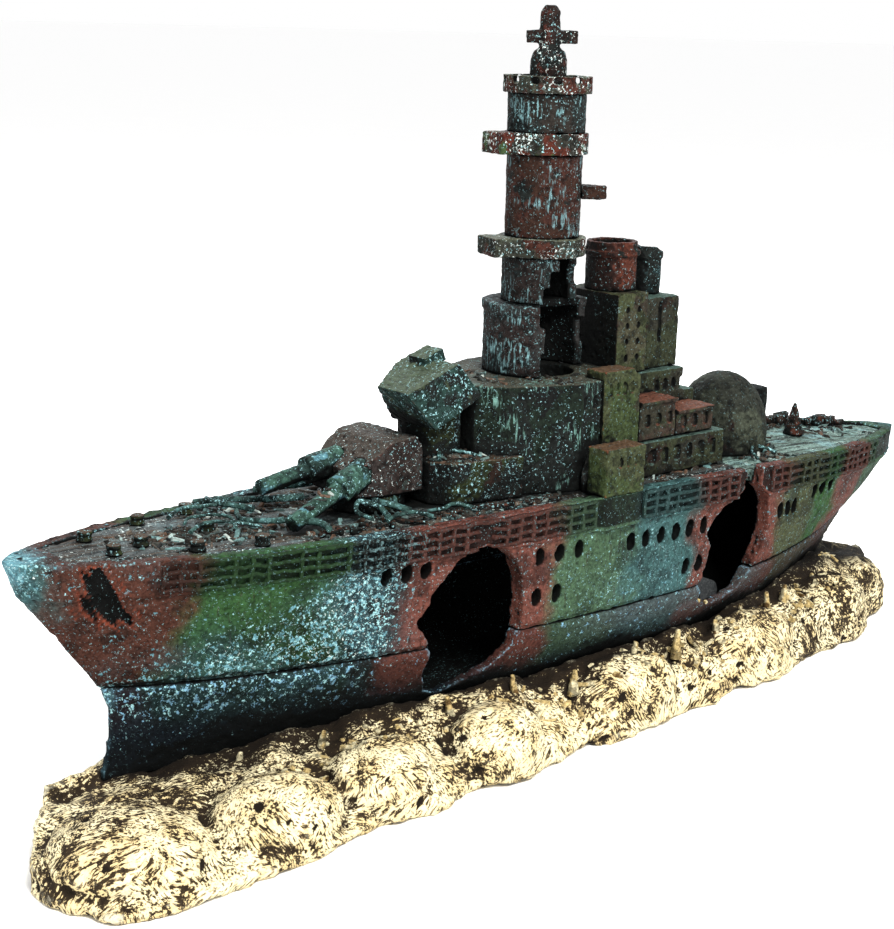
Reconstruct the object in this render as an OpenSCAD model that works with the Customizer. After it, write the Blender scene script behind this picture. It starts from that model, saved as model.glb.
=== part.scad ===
// Bubbling aquarium ornament: a broken battleship on a rock base, with a
// pull-out air bubbler in the starboard side. The castings are separate
// solids that stack on flat joint faces. +X is the stern, -Y is port,
// and Z = 0 is the flat underside.

/* [Hull] */
// Length of the ship from stem to stern tip
hull_len = 290; // [240:1:350]
// Widest beam of the hull at the deck
hull_beam = 58; // [50:1:72]
// Height of the deck rim amidships
rim_z = 58.5; // [56:0.5:72]
// Height of the flat joint at the waterline groove
waterline_z = 29; // [26:0.5:34]
// Height of the keel above the underside
keel_z = 8; // [6:0.5:9]
// Thickness of the hull shell
hull_wall = 3; // [2.4:0.1:4]

/* [Decks] */
// Thickness of the two deck castings
deck_thick = 3; // [2:0.25:5]
// Width of the ledge that carries the decks
deck_ledge = 1.5; // [1:0.1:2.5]
// Gap left around castings that drop into the hull
joint_gap = 0.1; // [0.05:0.05:0.3]
// Gap under things that stand on the sloping part of a deck
stand_gap = 0.06; // [0.05:0.01:0.1]

/* [Rock base] */
// Widest breadth of the rock base
base_w = 92; // [90:1:110]
// How far the rocks reach past the stem
bow_overhang = 8; // [2:1:30]
// Height of the sand bank beside the hull
bank_h = 17; // [15:0.5:21]

/* [Tower] */
// Distance of the tower axis ahead of midships
tower_ahead = 3; // [0:0.5:6]
// Radius of the drum at the foot of the tower
drum_r = 13.4; // [12:0.1:15]
// Radius of the lower shaft
low_shaft_r = 9.4; // [8:0.1:11]
// Radius of the middle and upper shafts
top_shaft_r = 9; // [7:0.1:10]
// Thickness of the walls of the tower
tower_wall = 2.4; // [1.6:0.1:3.2]
// Total height of the ornament
total_h = 170; // [165:1:190]

/* [Guns] */
// Radius of a gun barrel
gun_r = 1.9; // [1.4:0.1:2.6]
// Breadth of the gun houses
house_w = 20; // [16:0.5:24]

/* [Bubbler] */
// Distance of the air inlet behind midships
inlet_x = 60; // [55:1:75]
// Radius of the bubbler cartridge
cart_r = 4; // [3.2:0.1:4.2]
// Radial clearance of the running fits
run_gap = 0.05; // [0.02:0.01:0.1]
// Radius of the air hose spigot
spigot_r = 2.2; // [1.8:0.1:2.6]
// Length of the air hose spigot
spigot_len = 9; // [6:0.5:12]

/* [Hidden] */

$fn = 48;
frame_x = bow_overhang / 2;
half_len = hull_len / 2;
half_beam = hull_beam / 2;

// Hull form. A level is a height as a share of the way from keel to rim.
peak_u = 0.57;
stations = 34;
plan_power = 2.2;
groove = 0.9;
groove_h = 0.6;
band_h = 8;
band_out = 0.8;
tip_half = 0.7;
thin_half = 0.6;
bow_solid = 11;
stern_solid = 9;
beam_curve = [[0, 0.5], [0.12, 0.72], [0.24, 0.86], [0.41, 0.955], [0.73, 0.985], [1, 1]];
rake_curve = [[0, 20], [0.16, 22], [0.27, 23], [0.39, 21], [0.55, 16], [0.73, 8], [0.82, 4], [1, 0]];
counter_curve = [[0, 37], [0.24, 30], [0.37, 23], [0.49, 17], [0.61, 5], [0.71, 1], [0.77, 0], [1, 0]];
bow_fullness = [[0, 1], [0.41, 0.8], [1, 0.6]];
stern_fullness = [[0, 1.2], [0.41, 1], [1, 0.75]];
sheer_start = -90;
bow_rise = 1.5;
stern_fall = 6.5;

// Deck levels
deck_z = rim_z - 0.5;
stern_deck_z = rim_z - 3.3;
stern_flat_end = 90;

// The break amidships, as edges of the two hull castings from rim to waterline
break_front = [[45.5, 1], [44.5, 0.79], [38, 0.69], [34, 0.58], [31.5, 0.47], [33.5, 0.34], [31.5, 0.05], [31.5, 0]];
break_back = [[52, 1], [51.5, 0.79], [55, 0.71], [57, 0.58], [57.5, 0.41], [57, 0.24], [56, 0.14], [54.5, 0]];
// The hole torn in the port side
torn_side = [
    [-41, 52], [-36, 50.5], [-32.5, 47.5], [-30, 42.5], [-29, 36], [-29, 30], [-31, 25.5], [-35.5, 21], [-41, 19],
    [-48, 16], [-52, 17.5], [-54, 22.5], [-53, 27.5], [-55, 31.5], [-58, 36], [-55, 39.5], [-54, 43], [-50, 47.5], [-47, 51]
];
starboard_tear_shift = -22;
starboard_tear_scale = 0.72;

// Windows in the hull: first window, how many, pitch, height
window_w = 2.8;
window_h = 4.6;
window_rows = [
    [-67, 3, 5, 48.5], [-25, 3, 6, 46.5], [4, 6, 5.2, 45.5], [63, 3, 3.4, 43.5], [80, 3, 4.6, 46],
    [-25, 2, 6, 36.5], [24.5, 2, 5, 35.5]
];

// Superstructure levels above the deck
step_z = deck_z + 10;
bridge_z = deck_z + 26;
lower_house_z = deck_z + 9;
upper_house_z = deck_z + 24;
mid_house_z = deck_z + 44;
trunk_z = deck_z + 42;
bridge_front = -30;
bridge_side = 20;
tower_x = -tower_ahead;
bridge_neck = drum_r + 0.6;
drum_step = 3;
bridge_aft = tower_x + drum_r + drum_step;
house_end = 44;

// Tower levels above the bridge
drum_z = bridge_z + 17;
low_shaft_z = drum_z + 11;
low_plat_z = low_shaft_z + 4.5;
mid_shaft_z = low_plat_z + 19.5;
mid_plat_z = mid_shaft_z + 5;
top_shaft_z = mid_plat_z + 9;
top_plat_z = top_shaft_z + 4;
platform_lip = 1.2;
wing_out = 4.2;
wing_turn = 165;
rod_r = 1.6;

// Bubbler sizes
inlet_z = keel_z + 8;
sleeve_wall = 1.3;
sleeve_r = cart_r + run_gap + sleeve_wall;
stone_r = cart_r - 0.5;
stone_len = 20;
head_r = cart_r + 2.2;
head_len = 3;
sleeve_out = 32.5;
elbow_bore = spigot_r + run_gap;
air_way_r = 1.2;

function clamp01(v) = min(max(v, 0), 1);
function mix(a, b, t) = a + (b - a) * t;
function level(z) = clamp01((z - keel_z) / (rim_z - keel_z));
function stem_x(z) = -half_len + lookup(level(z), rake_curve);
function stern_x(z) = half_len - lookup(level(z), counter_curve);
function rim_height(x) = rim_z
    + bow_rise * clamp01((sheer_start - x) / (half_len + sheer_start))
    - stern_fall * pow(clamp01((x - 20) / (half_len - 20)), 1.3);
function deck_height(x) = rim_height(min(x, sheer_start)) - 0.5;
function stern_deck_height(x) = stern_deck_z - 3.4 * clamp01((x - stern_flat_end) / (half_len - stern_flat_end));
// Place along the rim that a place on a deck casting was drawn from
function deck_source(x) = mix(-half_len, half_len, (x + half_len - bow_solid) / (hull_len - bow_solid - stern_solid));
function deck_top(x) = deck_height(deck_source(x)) + stand_gap;
function stern_deck_top(x) = stern_deck_height(deck_source(x)) + stand_gap;
// Share of the full beam at a place along the hull
function plan(u, z) = u < peak_u
    ? pow(1 - pow(clamp01((peak_u - u) / peak_u), plan_power), lookup(level(z), bow_fullness))
    : pow(1 - pow(clamp01((u - peak_u) / (1 - peak_u)), plan_power), lookup(level(z), stern_fullness));
function side_y(x, z) = max(tip_half,
    half_beam * lookup(level(z), beam_curve) * plan((x - stem_x(z)) / (stern_x(z) - stem_x(z)), z));
// Stations crowd towards both ends
function station(i) = (1 - cos(180 * i / stations)) / 2;
function hull_x(u, z, bow_in, stern_in) = mix(stem_x(z) + bow_in, stern_x(z) - stern_in, u);
function hull_point(u, z, grow, bow_in, stern_in, side) =
    let (x = hull_x(u, z, bow_in, stern_in))
    [x, side * max(side_y(x, z) + grow, thin_half + 0.05 * grow), z];
// One ring of a hull form: levels are [height, outward growth]
function hull_ring(u, levels, bow_in, stern_in) = concat(
    [for (v = levels) hull_point(u, v[0], v[1], bow_in, stern_in, -1)],
    [for (k = [len(levels) - 1 : -1 : 0]) hull_point(u, levels[k][0], levels[k][1], bow_in, stern_in, 1)]
);
function unit_x(u) = mix(-half_len, half_len, u);

// Closed solid through rings that have the same number of points. Each ring
// runs up the port side and down the starboard side.
module loft(rings) {
    n = len(rings[0]);
    last = len(rings) - 1;
    sides = [
        for (i = [0 : last - 1])
            for (j = [0 : n - 1])
                let (k = (j + 1) % n)
                each [
                    [i * n + j, (i + 1) * n + k, (i + 1) * n + j],
                    [i * n + j, i * n + k, (i + 1) * n + k]
                ]
    ];
    polyhedron(points = [for (ring = rings) each ring],
        faces = concat(sides, ring_cap(n, 0, true), ring_cap(n, last * n, false)), convexity = 8);
}

// Triangles that close one ring, in strips from its port to its starboard side
function ring_cap(n, start, is_first) = [
    for (j = [0 : floor(n / 2) - 1])
        let (far = n - 1 - j)
        each concat(
            j + 1 < far ? [cap_face([j, j + 1, far], start, is_first)] : [],
            j + 1 < far - 1 ? [cap_face([j + 1, far - 1, far], start, is_first)] : []
        )
];
function cap_face(corners, start, is_first) = is_first
    ? [start + corners[2], start + corners[1], start + corners[0]]
    : [start + corners[0], start + corners[1], start + corners[2]];

module in_frame() {
    translate([frame_x, 0, 0]) children();
}

// Solid of the hull below the waterline joint
module lower_form(grow) {
    levels = [
        [keel_z - max(grow, 0), grow], [mix(keel_z, waterline_z, 0.2), grow], [mix(keel_z, waterline_z, 0.45), grow],
        [mix(keel_z, waterline_z, 0.75), grow], [waterline_z - 2 * groove_h, grow],
        [waterline_z - groove_h, grow - groove], [waterline_z, grow - groove]
    ];
    loft([for (i = [0 : stations]) hull_ring(station(i), levels, -2 * grow, -2 * grow)]);
}

module lower_hollow() {
    levels = [
        [keel_z + hull_wall, -hull_wall], [mix(keel_z, waterline_z, 0.45), -hull_wall],
        [mix(keel_z, waterline_z, 0.75), -hull_wall], [waterline_z + 1, -hull_wall - deck_ledge]
    ];
    loft([for (i = [0 : stations]) hull_ring(station(i), levels, bow_solid, stern_solid)]);
}

// Solid of the hull above the waterline joint, with the proud rail band
module upper_form() {
    loft([
        for (i = [0 : stations])
            let (u = station(i), top = rim_height(unit_x(u)), band = top - band_h)
            hull_ring(u, [
                [waterline_z, -groove], [waterline_z + groove_h, -groove], [waterline_z + 2 * groove_h, 0],
                [mix(waterline_z, band, 0.5), 0], [band - 0.4, 0], [band, band_out], [top - 0.4, band_out], [top, band_out - 0.4]
            ], 0, 0)
    ]);
}

// Room inside the upper hull, with the ledge that the decks rest on
module upper_hollow(aft) {
    loft([
        for (i = [0 : stations])
            let (u = station(i), x = unit_x(u), deck = aft ? stern_deck_height(x) : deck_height(x), seat = deck - deck_thick)
            hull_ring(u, [
                [waterline_z - 1, -hull_wall - deck_ledge], [mix(waterline_z, seat, 0.5), -hull_wall - deck_ledge],
                [seat, -hull_wall - deck_ledge], [seat, -hull_wall], [deck, -hull_wall], [rim_z + 4, -hull_wall]
            ], bow_solid, stern_solid)
    ]);
}

module deck_form(aft) {
    loft([
        for (i = [0 : stations])
            let (u = station(i), x = unit_x(u), deck = aft ? stern_deck_height(x) : deck_height(x))
            hull_ring(u, [[deck - deck_thick, -hull_wall - joint_gap], [deck, -hull_wall - joint_gap]],
                bow_solid + joint_gap, stern_solid + joint_gap)
    ]);
}

// Upright slab through the ship from a side outline of [x, z] points
module side_cut(outline, y_from, y_to) {
    translate([0, y_to, 0]) rotate([90, 0, 0]) linear_extrude(y_to - y_from) polygon(outline);
}

function broken(edge, shift) = [for (p = edge) [p[0] + shift, mix(waterline_z, rim_z, p[1])]];

module ahead_of_break(shift) {
    top = rim_z + 20;
    edge = broken(break_front, shift);
    side_cut(concat([[-hull_len, top], [edge[0][0], top]], edge,
        [[edge[len(edge) - 1][0], 0], [-hull_len, 0]]), -hull_beam, hull_beam);
}

module behind_break(shift) {
    top = rim_z + 20;
    edge = broken(break_back, shift);
    side_cut(concat([[hull_len, top], [edge[0][0], top]], edge,
        [[edge[len(edge) - 1][0], 0], [hull_len, 0]]), -hull_beam, hull_beam);
}

module torn_holes() {
    side_cut(torn_side, -hull_beam, -4);
    side_cut([for (p = torn_side) [p[0] * starboard_tear_scale + starboard_tear_shift, 36 + (p[1] - 36) * starboard_tear_scale]],
        4, hull_beam);
}

module hull_windows() {
    for (row = window_rows)
        for (i = [0 : row[1] - 1])
            translate([row[0] + i * row[2], 0, row[3]]) rotate([90, 0, 0]) hull()
                for (end = [-1, 1])
                    translate([0, end * (window_h - window_w) / 2, 0])
                        cylinder(d = window_w, h = 2 * hull_beam, center = true, $fn = 8);
}

module lower_hull() in_frame() color("#22303a") difference() {
    lower_form(0);
    lower_hollow();
    torn_holes();
    side_cut([[31.5, waterline_z + 1], [33, 24], [40, 22], [50, 24], [54.5, waterline_z + 1]], -hull_beam, -4);
    peg_holes();
    inlet_axis() cylinder(r = sleeve_r + 0.3, h = hull_beam);
}

module forward_hull() in_frame() color("#6a4a38") difference() {
    union() {
        intersection() {
            difference() {
                upper_form();
                upper_hollow(false);
            }
            ahead_of_break(0);
        }
        for (side = [-1, 1])
            translate([sponson_x, side * (half_beam - 0.5) - 1.8, rim_z - band_h])
                cube([sponson_len, 3.6, band_h]);
    }
    torn_holes();
    hull_windows();
}

module stern_hull() in_frame() color("#5d5a44") difference() {
    intersection() {
        difference() {
            upper_form();
            upper_hollow(true);
        }
        behind_break(0);
    }
    hull_windows();
}

module main_deck() in_frame() color("#574f45") intersection() {
    deck_form(false);
    ahead_of_break(-1);
}

module stern_deck() in_frame() color("#7f9a92") intersection() {
    deck_form(true);
    behind_break(1);
}

// Locating pegs between the lower hull and the rock base
peg_r = 3;
peg_depth = 4;
peg_places = [-88, -8, 26, 92];
module peg_holes() {
    for (x = peg_places)
        translate([x, 0, keel_z - peg_depth]) cylinder(r = peg_r + joint_gap, h = peg_depth + hull_wall + 1);
}

module hull_pegs() in_frame() color("#8f8f88")
    for (x = peg_places)
        translate([x, 0, keel_z - peg_depth]) cylinder(r = peg_r, h = peg_depth + hull_wall);

// Rock base: a lumpy bank around the hull. Its bow end lies to port.
base_from = -half_len - bow_overhang;
base_to = half_len - 10;
base_rows = 44;
blunt_bow = 31;
edge_thick = 2.6;
base_cols = 22;
function base_end(v, blunt) = pow(1 - pow(abs(2 * v - 1), blunt), 0.5);
function port_half(v) = base_w / 2 * (1.03 - 0.4 * pow(v, 1.4)) * base_end(v, v < 0.5 ? 40 : 4);
function starboard_half(v) = base_w / 2 * lookup(v, [
    [0, 0.06], [0.05, 0.1], [0.12, 0.3], [0.2, 0.6], [0.3, 0.88], [0.4, 1], [0.5, 1], [0.62, 0.86], [0.74, 0.7], [1, 0.55]
]) * (v < 0.5 ? 1 : base_end(v, 4));
function bank(x) = lookup(x / half_len, [
    [-1.1, 6], [-0.86, 8], [-0.6, bank_h - 6], [-0.35, bank_h - 3], [0.15, bank_h], [0.7, bank_h + 1], [0.85, bank_h - 2], [1, bank_h - 8]
]);
function lumps(x, y) = 1.1 * sin(x * 9 + y * 4) * cos(y * 11 - x * 3)
    + 0.7 * sin(x * 17 - y * 13) + 0.5 * cos(x * 23 + y * 19);
function edge_lump(v, turn) = 1 - 0.035 * (1 + sin(v * 3300 + turn)) - 0.02 * (1 + cos(v * 5300 + turn));
// The bank falls a little towards the hull and rounds over at its edge
function base_top(x, y, w) =
    let (out = abs(y) / w)
    max(edge_thick, (bank(x) + 2.5 * sin(180 * clamp01(out * 1.15))) * pow(1 - pow(out, 3.4), 0.45) + lumps(x, y) * (1 - pow(out, 6)));
function base_ring(v) =
    let (
        x = mix(base_from, base_to, v),
        port = max(port_half(v) * (v < 0.16 ? 1 : edge_lump(v, 0)), v < 0.1 ? blunt_bow : 3),
        starboard = max(starboard_half(v) * (v > 0.38 && v < 0.52 ? 1 : edge_lump(v, 90)), 2),
        side = [for (j = [0 : base_cols]) -cos(180 * j / base_cols)]
    )
    concat(
        [[x, -port * 0.97, 0]],
        [for (c = side) let (y = c * (c < 0 ? port : starboard)) [x, y, base_top(x, y, c < 0 ? port : starboard)]],
        [[x, starboard * 0.97, 0]]
    );

// Boulder that sits in the bank
module boulder(x, y, size) {
    translate([x, y, 0]) hull() {
        translate([0, 0, size[2] * 0.45]) scale(size / 10) sphere(r = 5, $fn = 14);
        translate([size[0] * 0.1, 0, 1]) scale([size[0], size[1], 2] / 10) sphere(r = 4.6, $fn = 14);
    }
}

boulders = [
    [-135, -29, [34, 32, 15]], [-139, -14, [20, 22, 11]], [-104, -34, [32, 22, 16]], [-76, -33, [28, 20, 17]],
    [-60, 31, [34, 20, 19]], [-44, -34, [26, 18, 18]], [2, -30, [34, 18, 19]], [14, 30, [36, 20, 20]],
    [60, 25, [32, 17, 27]], [50, -27, [36, 18, 20]], [92, -20, [34, 18, 20]], [112, 8, [30, 20, 18]],
    [-94, 20, [26, 14, 12]], [118, -10, [26, 16, 18]]
];
// The starboard corner of the base is cut away at the bow
bow_corner_turn = 56;
module rock_base() in_frame() color("#d9cc8c") difference() {
    intersection() {
        union() {
            loft([for (i = [0 : base_rows]) base_ring(i / base_rows)]);
            for (b = boulders) boulder(b[0], b[1], b[2]);
        }
        translate([base_from, -base_w / 2, 0]) cube([base_to - base_from, base_w, waterline_z - 0.5]);
    }
    lower_form(0.2);
    peg_holes();
    translate([base_from, -22, -1]) rotate(bow_corner_turn) cube([base_w, base_w, bank_h * 2]);
    inlet_axis() cylinder(r = sleeve_r + 0.1, h = hull_beam);
    inlet_axis() translate([0, 0, sleeve_out]) cylinder(r = head_r + 4, h = hull_beam);
}

// Stubs of shell and coral that stand at the foot of the hull
module coral_tufts() in_frame() color("#c9b878")
    for (i = [0 : 15])
        let (x = -100 + i * 13.5 + 4 * sin(i * 77), w = side_y(x, 24) + 3.6 + 0.8 * sin(i * 131))
        translate([x, (i % 4 == 3 ? 1 : -1) * w, bank(x) - 4])
            rotate([8 * sin(i * 61), 10 * cos(i * 47), 0])
                cylinder(r1 = 1.6, r2 = 0.6, h = 7 + 1.5 * sin(i * 97), $fn = 7);

// Things that stand or lie on the decks
module stick(from, to, r) {
    hull() {
        translate(from) cylinder(r = r, h = 2 * r, $fn = 7);
        translate(to) cylinder(r = r, h = 2 * r, $fn = 7);
    }
}

module bow_fittings() in_frame() color("#3d4a4c")
    for (p = [[-124, -6], [-124, 6], [-116, -3], [-108, -12], [-108, 12], [-98, 0], [-94, -15], [-94, 15]])
        translate([p[0], p[1], deck_top(p[0] - 2)]) {
            cylinder(r1 = 1.9, r2 = 1.3, h = 1.4, $fn = 14);
            translate([0, 0, 1.4]) cylinder(r = 1.6, h = 0.8, $fn = 14);
        }

module fore_wreckage() in_frame() color("#6f5a48")
    for (i = [0 : 20])
        let (
            x = -78 + 3.1 * i,
            y = -side_y(x, rim_z) + 6.4 + 1.3 * sin(i * 140),
            turn = 80 * sin(i * 97),
            reach = 1.6 + 0.8 * cos(i * 55)
        )
        if (x < sponson_x - 3)
            stick([x - reach * cos(turn), y - 0.6 * reach * sin(turn), deck_z],
                [x + reach * cos(turn), y + 0.6 * reach * sin(turn), deck_z], 0.55 + 0.2 * sin(i * 31));

module stern_wreckage() in_frame() color("#6b4434") {
    for (i = [0 : 11])
        let (x = 92 + 3.2 * i, y = side_y(x, rim_z) - hull_wall - 3.4)
        stick([x - 1.5, y, stern_deck_top(x - 3)], [x + 1.5, y + 0.6, stern_deck_top(x - 3)], 1.1 + 0.3 * sin(i * 88));
    translate([99, 0, stern_deck_top(96)]) cylinder(r1 = 3, r2 = 0.4, h = 9, $fn = 9);
}

// Gun turrets
function bridge_outline() = [
    [bridge_front, -8], [bridge_front + 6, -14], [-8, -bridge_side], [0, -bridge_side], [0, -bridge_neck],
    [bridge_aft, -bridge_neck], [bridge_aft, bridge_neck], [0, bridge_neck], [0, bridge_side], [-8, bridge_side],
    [bridge_front + 6, 14], [bridge_front, 8]
];

module gun_step() in_frame() color("#3b3f2c")
    translate([0, 0, deck_z]) linear_extrude(step_z - deck_z) difference() {
        polygon([[-44.5, -9], [-41, -14], [-22, -17], [-20, 17], [-41, 14], [-44.5, 9]]);
        polygon(bridge_outline());
    }

turret_a_x = -56;
turret_a_seat = deck_z + 4;
module turret_a_base() in_frame() color("#4a4038")
    translate([turret_a_x, 0, deck_z]) cylinder(r = 9.5, h = turret_a_seat - deck_z);

turret_a_profile = [[-65, 0], [-64.5, 6], [-56, 12], [-48.5, 12.8], [-45.2, 8], [-45.2, 0]];
module turret_a_house() in_frame() color("#6d4a3c") difference() {
    intersection() {
        side_cut([for (p = turret_a_profile) [p[0], turret_a_seat + p[1]]], -house_w / 2, house_w / 2);
        translate([0, 0, turret_a_seat]) linear_extrude(20)
            polygon([
                [-65, -7], [-59, -house_w / 2], [-47, -house_w / 2], [-45.2, -8],
                [-45.2, 8], [-47, house_w / 2], [-59, house_w / 2], [-65, 7]
            ]);
    }
    port_gun_shape(joint_gap);
    starboard_gun_shape(joint_gap);
}

// A drooping barrel, with a thick sleeve at its root
module gun(root, tip, grow) {
    reach = tip - root;
    flat = norm([reach[0], reach[1]]);
    translate(root) rotate([0, 90 - atan2(reach[2], flat), atan2(reach[1], reach[0])]) {
        cylinder(r = gun_r + grow, h = norm(reach));
        translate([0, 0, -grow]) cylinder(r = gun_r + 1.3 + grow, h = 10 + grow);
    }
}

module port_gun_shape(grow) {
    gun([turret_a_x - 4, -5.5, turret_a_seat + 5.5], [-84, -11.5, deck_z + gun_r + 0.4], grow);
}

module starboard_gun_shape(grow) {
    gun([turret_a_x - 4, 4, turret_a_seat + 6.5], [-82.5, 3, deck_z + 7], grow);
}

module turret_a_port_gun() in_frame() color("#3f6a5c") port_gun_shape(0);
module turret_a_starboard_gun() in_frame() color("#3f5f56") starboard_gun_shape(0);

turret_b_outline = [[-53, 85], [-38, 90.5], [-30.5, 82.2], [-44.3, 75.8]];
module turret_b_prism() {
    intersection() {
        side_cut([for (p = turret_b_outline) [p[0], p[1] - 58 + deck_z]], -house_w / 2 - 1.5, house_w / 2);
        linear_extrude(total_h) polygon([[-54, -12], [-28, -12], [-28, 6], [-42, 6], [-54, -1]]);
    }
}

module turret_b_base() in_frame() color("#33382c") difference() {
    translate([-36.8, 0, step_z]) cylinder(r = 7.4, h = 15);
    turret_b_prism();
    translate([bridge_front, -hull_beam, deck_z]) cube([hull_beam, 2 * hull_beam, 60]);
    side_cut([for (p = turret_b_outline) [p[0], p[1] - 58 + deck_z + 12]], -hull_beam, hull_beam);
}

module turret_b_house() in_frame() color("#4f7460") {
    turret_b_prism();
    translate([-41, -4, deck_z + 30]) rotate([0, -20, 0]) cube([6, 6, 3]);
}

// Bridge and deckhouses
module window_line(from, count, pitch, w, h) {
    for (i = [0 : count - 1])
        translate([from[0] + i * pitch, from[1], from[2]]) cube([w, 2, h], center = true);
}

module bridge_block() in_frame() color("#2f3a34") difference() {
    translate([0, 0, deck_z]) linear_extrude(bridge_z - deck_z) polygon(bridge_outline());
    translate([tower_x, 0, deck_z + 6]) cylinder(r = 9, h = 40);
    window_line([-5, -bridge_side, bridge_z - 5], 2, 3, 1.6, 3.4);
}

module window_tower() {
    difference() {
        translate([0.2, -20.5, deck_z]) cube([bridge_aft - 1, 20.5 - bridge_neck - 0.1, bridge_z + 2 - deck_z]);
        window_line([2.6, -20.5, bridge_z - 2.6], 4, 2.4, 1.4, 3);
        translate([13.5, -26, bridge_z - 1]) rotate([0, -45, 0]) cube([8, 20, 5]);
    }
}

module port_window_tower() in_frame() color("#5f7048") window_tower();
module starboard_window_tower() in_frame() color("#5f7048") mirror([0, 1, 0]) window_tower();

sponson_x = -8;
sponson_len = 13;
sponson_z = deck_z + 12;
module sponson() {
    difference() {
        translate([sponson_x, -half_beam - 1.3, rim_z]) cube([sponson_len, 6.5, sponson_z - rim_z]);
        window_line([sponson_x + 5, -half_beam - 1.3, sponson_z - 3.6], 3, 2.6, 1.3, 2.6);
    }
}

module port_sponson() in_frame() color("#56683f") sponson();
module starboard_sponson() in_frame() color("#56683f") mirror([0, 1, 0]) sponson();

house_x = bridge_aft + 0.5;
module lower_deckhouse() in_frame() color("#5a5f4a") difference() {
    translate([house_x, -21, deck_z]) cube([house_end - house_x, 42, lower_house_z - deck_z]);
    for (side = [-1, 1]) window_line([house_x + 4, side * 21, deck_z + 5], 6, 4.4, 2, 4);
}

module side_house(from, to, top, count) {
    difference() {
        union() {
            translate([from, -19.5, lower_house_z]) cube([to - from, 8.3, top - lower_house_z - 1]);
            translate([from, -20.3, top - 1]) cube([to - from, 9.1, 1]);
        }
        window_line([from + 3, -19.5, mix(lower_house_z, top, 0.5)], count, 4, 1.8, 3);
    }
}

module port_side_house() in_frame() color("#6c5a46") side_house(house_x, 27, lower_house_z + 10, 3);
module starboard_side_house() in_frame() color("#6c5a46") mirror([0, 1, 0]) side_house(house_x, 27, lower_house_z + 10, 3);
module port_aft_house() in_frame() color("#7a4a3a") side_house(27.3, 41, lower_house_z + 6.5, 3);
module starboard_aft_house() in_frame() color("#7a4a3a") mirror([0, 1, 0]) side_house(27.3, 41, lower_house_z + 6.5, 3);

module upper_deckhouse() in_frame() color("#66604a") difference() {
    translate([house_x, -11, lower_house_z]) cube([house_end - 1 - house_x, 22, upper_house_z - lower_house_z]);
    translate([38.5, -12, upper_house_z - 6]) cube([10, 24, 8]);
    for (side = [-1, 1]) window_line([house_x + 15, side * 11, upper_house_z - 4], 4, 3, 1.5, 3);
}

mid_house_end = 25;
trunk_end = 38.5;
module mid_house() in_frame() color("#5b6650") difference() {
    translate([house_x + 0.4, -10, upper_house_z]) cube([mid_house_end - house_x - 0.4, 20, mid_house_z - upper_house_z]);
    for (side = [-1, 1], k = [0 : 3]) window_line([house_x + 4, side * 10, upper_house_z + 4 + 4 * k], 2, 4, 1, 1.8);
}

module funnel_trunk() in_frame() color("#4c4a40") difference() {
    translate([mid_house_end, -8, upper_house_z]) cube([trunk_end - mid_house_end, 16, trunk_z - upper_house_z]);
    translate([mid_house_end + 6, -9, upper_house_z + 6]) cube([1.2, 2, 11]);
}

funnel_x = 21.3;
module forward_funnel() in_frame() color("#6e3f34")
    translate([funnel_x, 0, mid_house_z]) difference() {
        union() {
            cylinder(r = 6.4, h = 12);
            translate([0, 0, 8.6]) cylinder(r = 7.2, h = 1.2);
        }
        translate([0, 0, 2]) cylinder(r = 5, h = 14);
    }

module aft_funnel() in_frame() color("#2f4a4c")
    translate([trunk_end - 4.4, 0, trunk_z]) difference() {
        union() {
            cylinder(r = 3.8, h = 12);
            translate([0, 0, 9]) cylinder(r = 4.3, h = 2);
        }
        translate([0, 0, 2]) cylinder(r = 2.6, h = 14);
        translate([0, 0, 14]) rotate([0, 25, 0]) cube([12, 12, 4], center = true);
    }

// Tower of stacked tubes and platforms
module tower_tube(r, from, to) {
    translate([tower_x, 0, from]) difference() {
        cylinder(r = r, h = to - from);
        translate([0, 0, -1]) cylinder(r = r - tower_wall, h = to - from + 2);
    }
}

// Wedge that the torn side of the tower is cut with, seen from above
module tower_tear(from_angle, to_angle, z_from, z_to) {
    reach = 2 * drum_r;
    translate([tower_x, 0, z_from]) linear_extrude(z_to - z_from)
        polygon(concat([[0, 0]], [for (a = [from_angle : 20 : to_angle]) reach * [cos(a), sin(a)]]));
}

module tower_drum() in_frame() color("#34403e") difference() {
    union() {
        tower_tube(drum_r, bridge_z, drum_z);
        translate([tower_x, 0, drum_z - 2]) cylinder(r = drum_r + 0.5, h = 2);
    }
    tower_tear(-130, -10, bridge_z - 1, bridge_z + 6);
    tower_tear(-126, -6, bridge_z + 5.9, bridge_z + 12);
    tower_tear(-132, -12, bridge_z + 11.9, drum_z + 1);
}

module lower_shaft() in_frame() color("#3a3431") difference() {
    tower_tube(low_shaft_r, drum_z, low_shaft_z);
    tower_tear(-128, -28, drum_z - 1, drum_z + 4);
    tower_tear(-118, -18, drum_z + 3.9, drum_z + 8);
    tower_tear(-104, -24, drum_z + 7.9, low_shaft_z + 1);
}

// A platform with a wing that reaches out over the port bow
module platform(r, from, to) {
    translate([tower_x, 0, from]) difference() {
        union() {
            cylinder(r = r, h = to - from);
            rotate([0, 0, wing_turn]) translate([r - 3, -5, 0]) cube([3 + wing_out, 10, to - from]);
        }
        translate([0, 0, -1]) cylinder(r = rod_r + joint_gap, h = to - from + 2);
    }
}

module lower_platform() in_frame() color("#453b36") platform(low_shaft_r + platform_lip, low_shaft_z, low_plat_z);
module middle_shaft() in_frame() color("#5a3530") tower_tube(top_shaft_r, low_plat_z, mid_shaft_z);
module middle_platform() in_frame() color("#6c3c34") platform(top_shaft_r + platform_lip, mid_shaft_z, mid_plat_z);
module upper_shaft() in_frame() color("#2c3536") tower_tube(top_shaft_r + 0.3, mid_plat_z, top_shaft_z);

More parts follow.
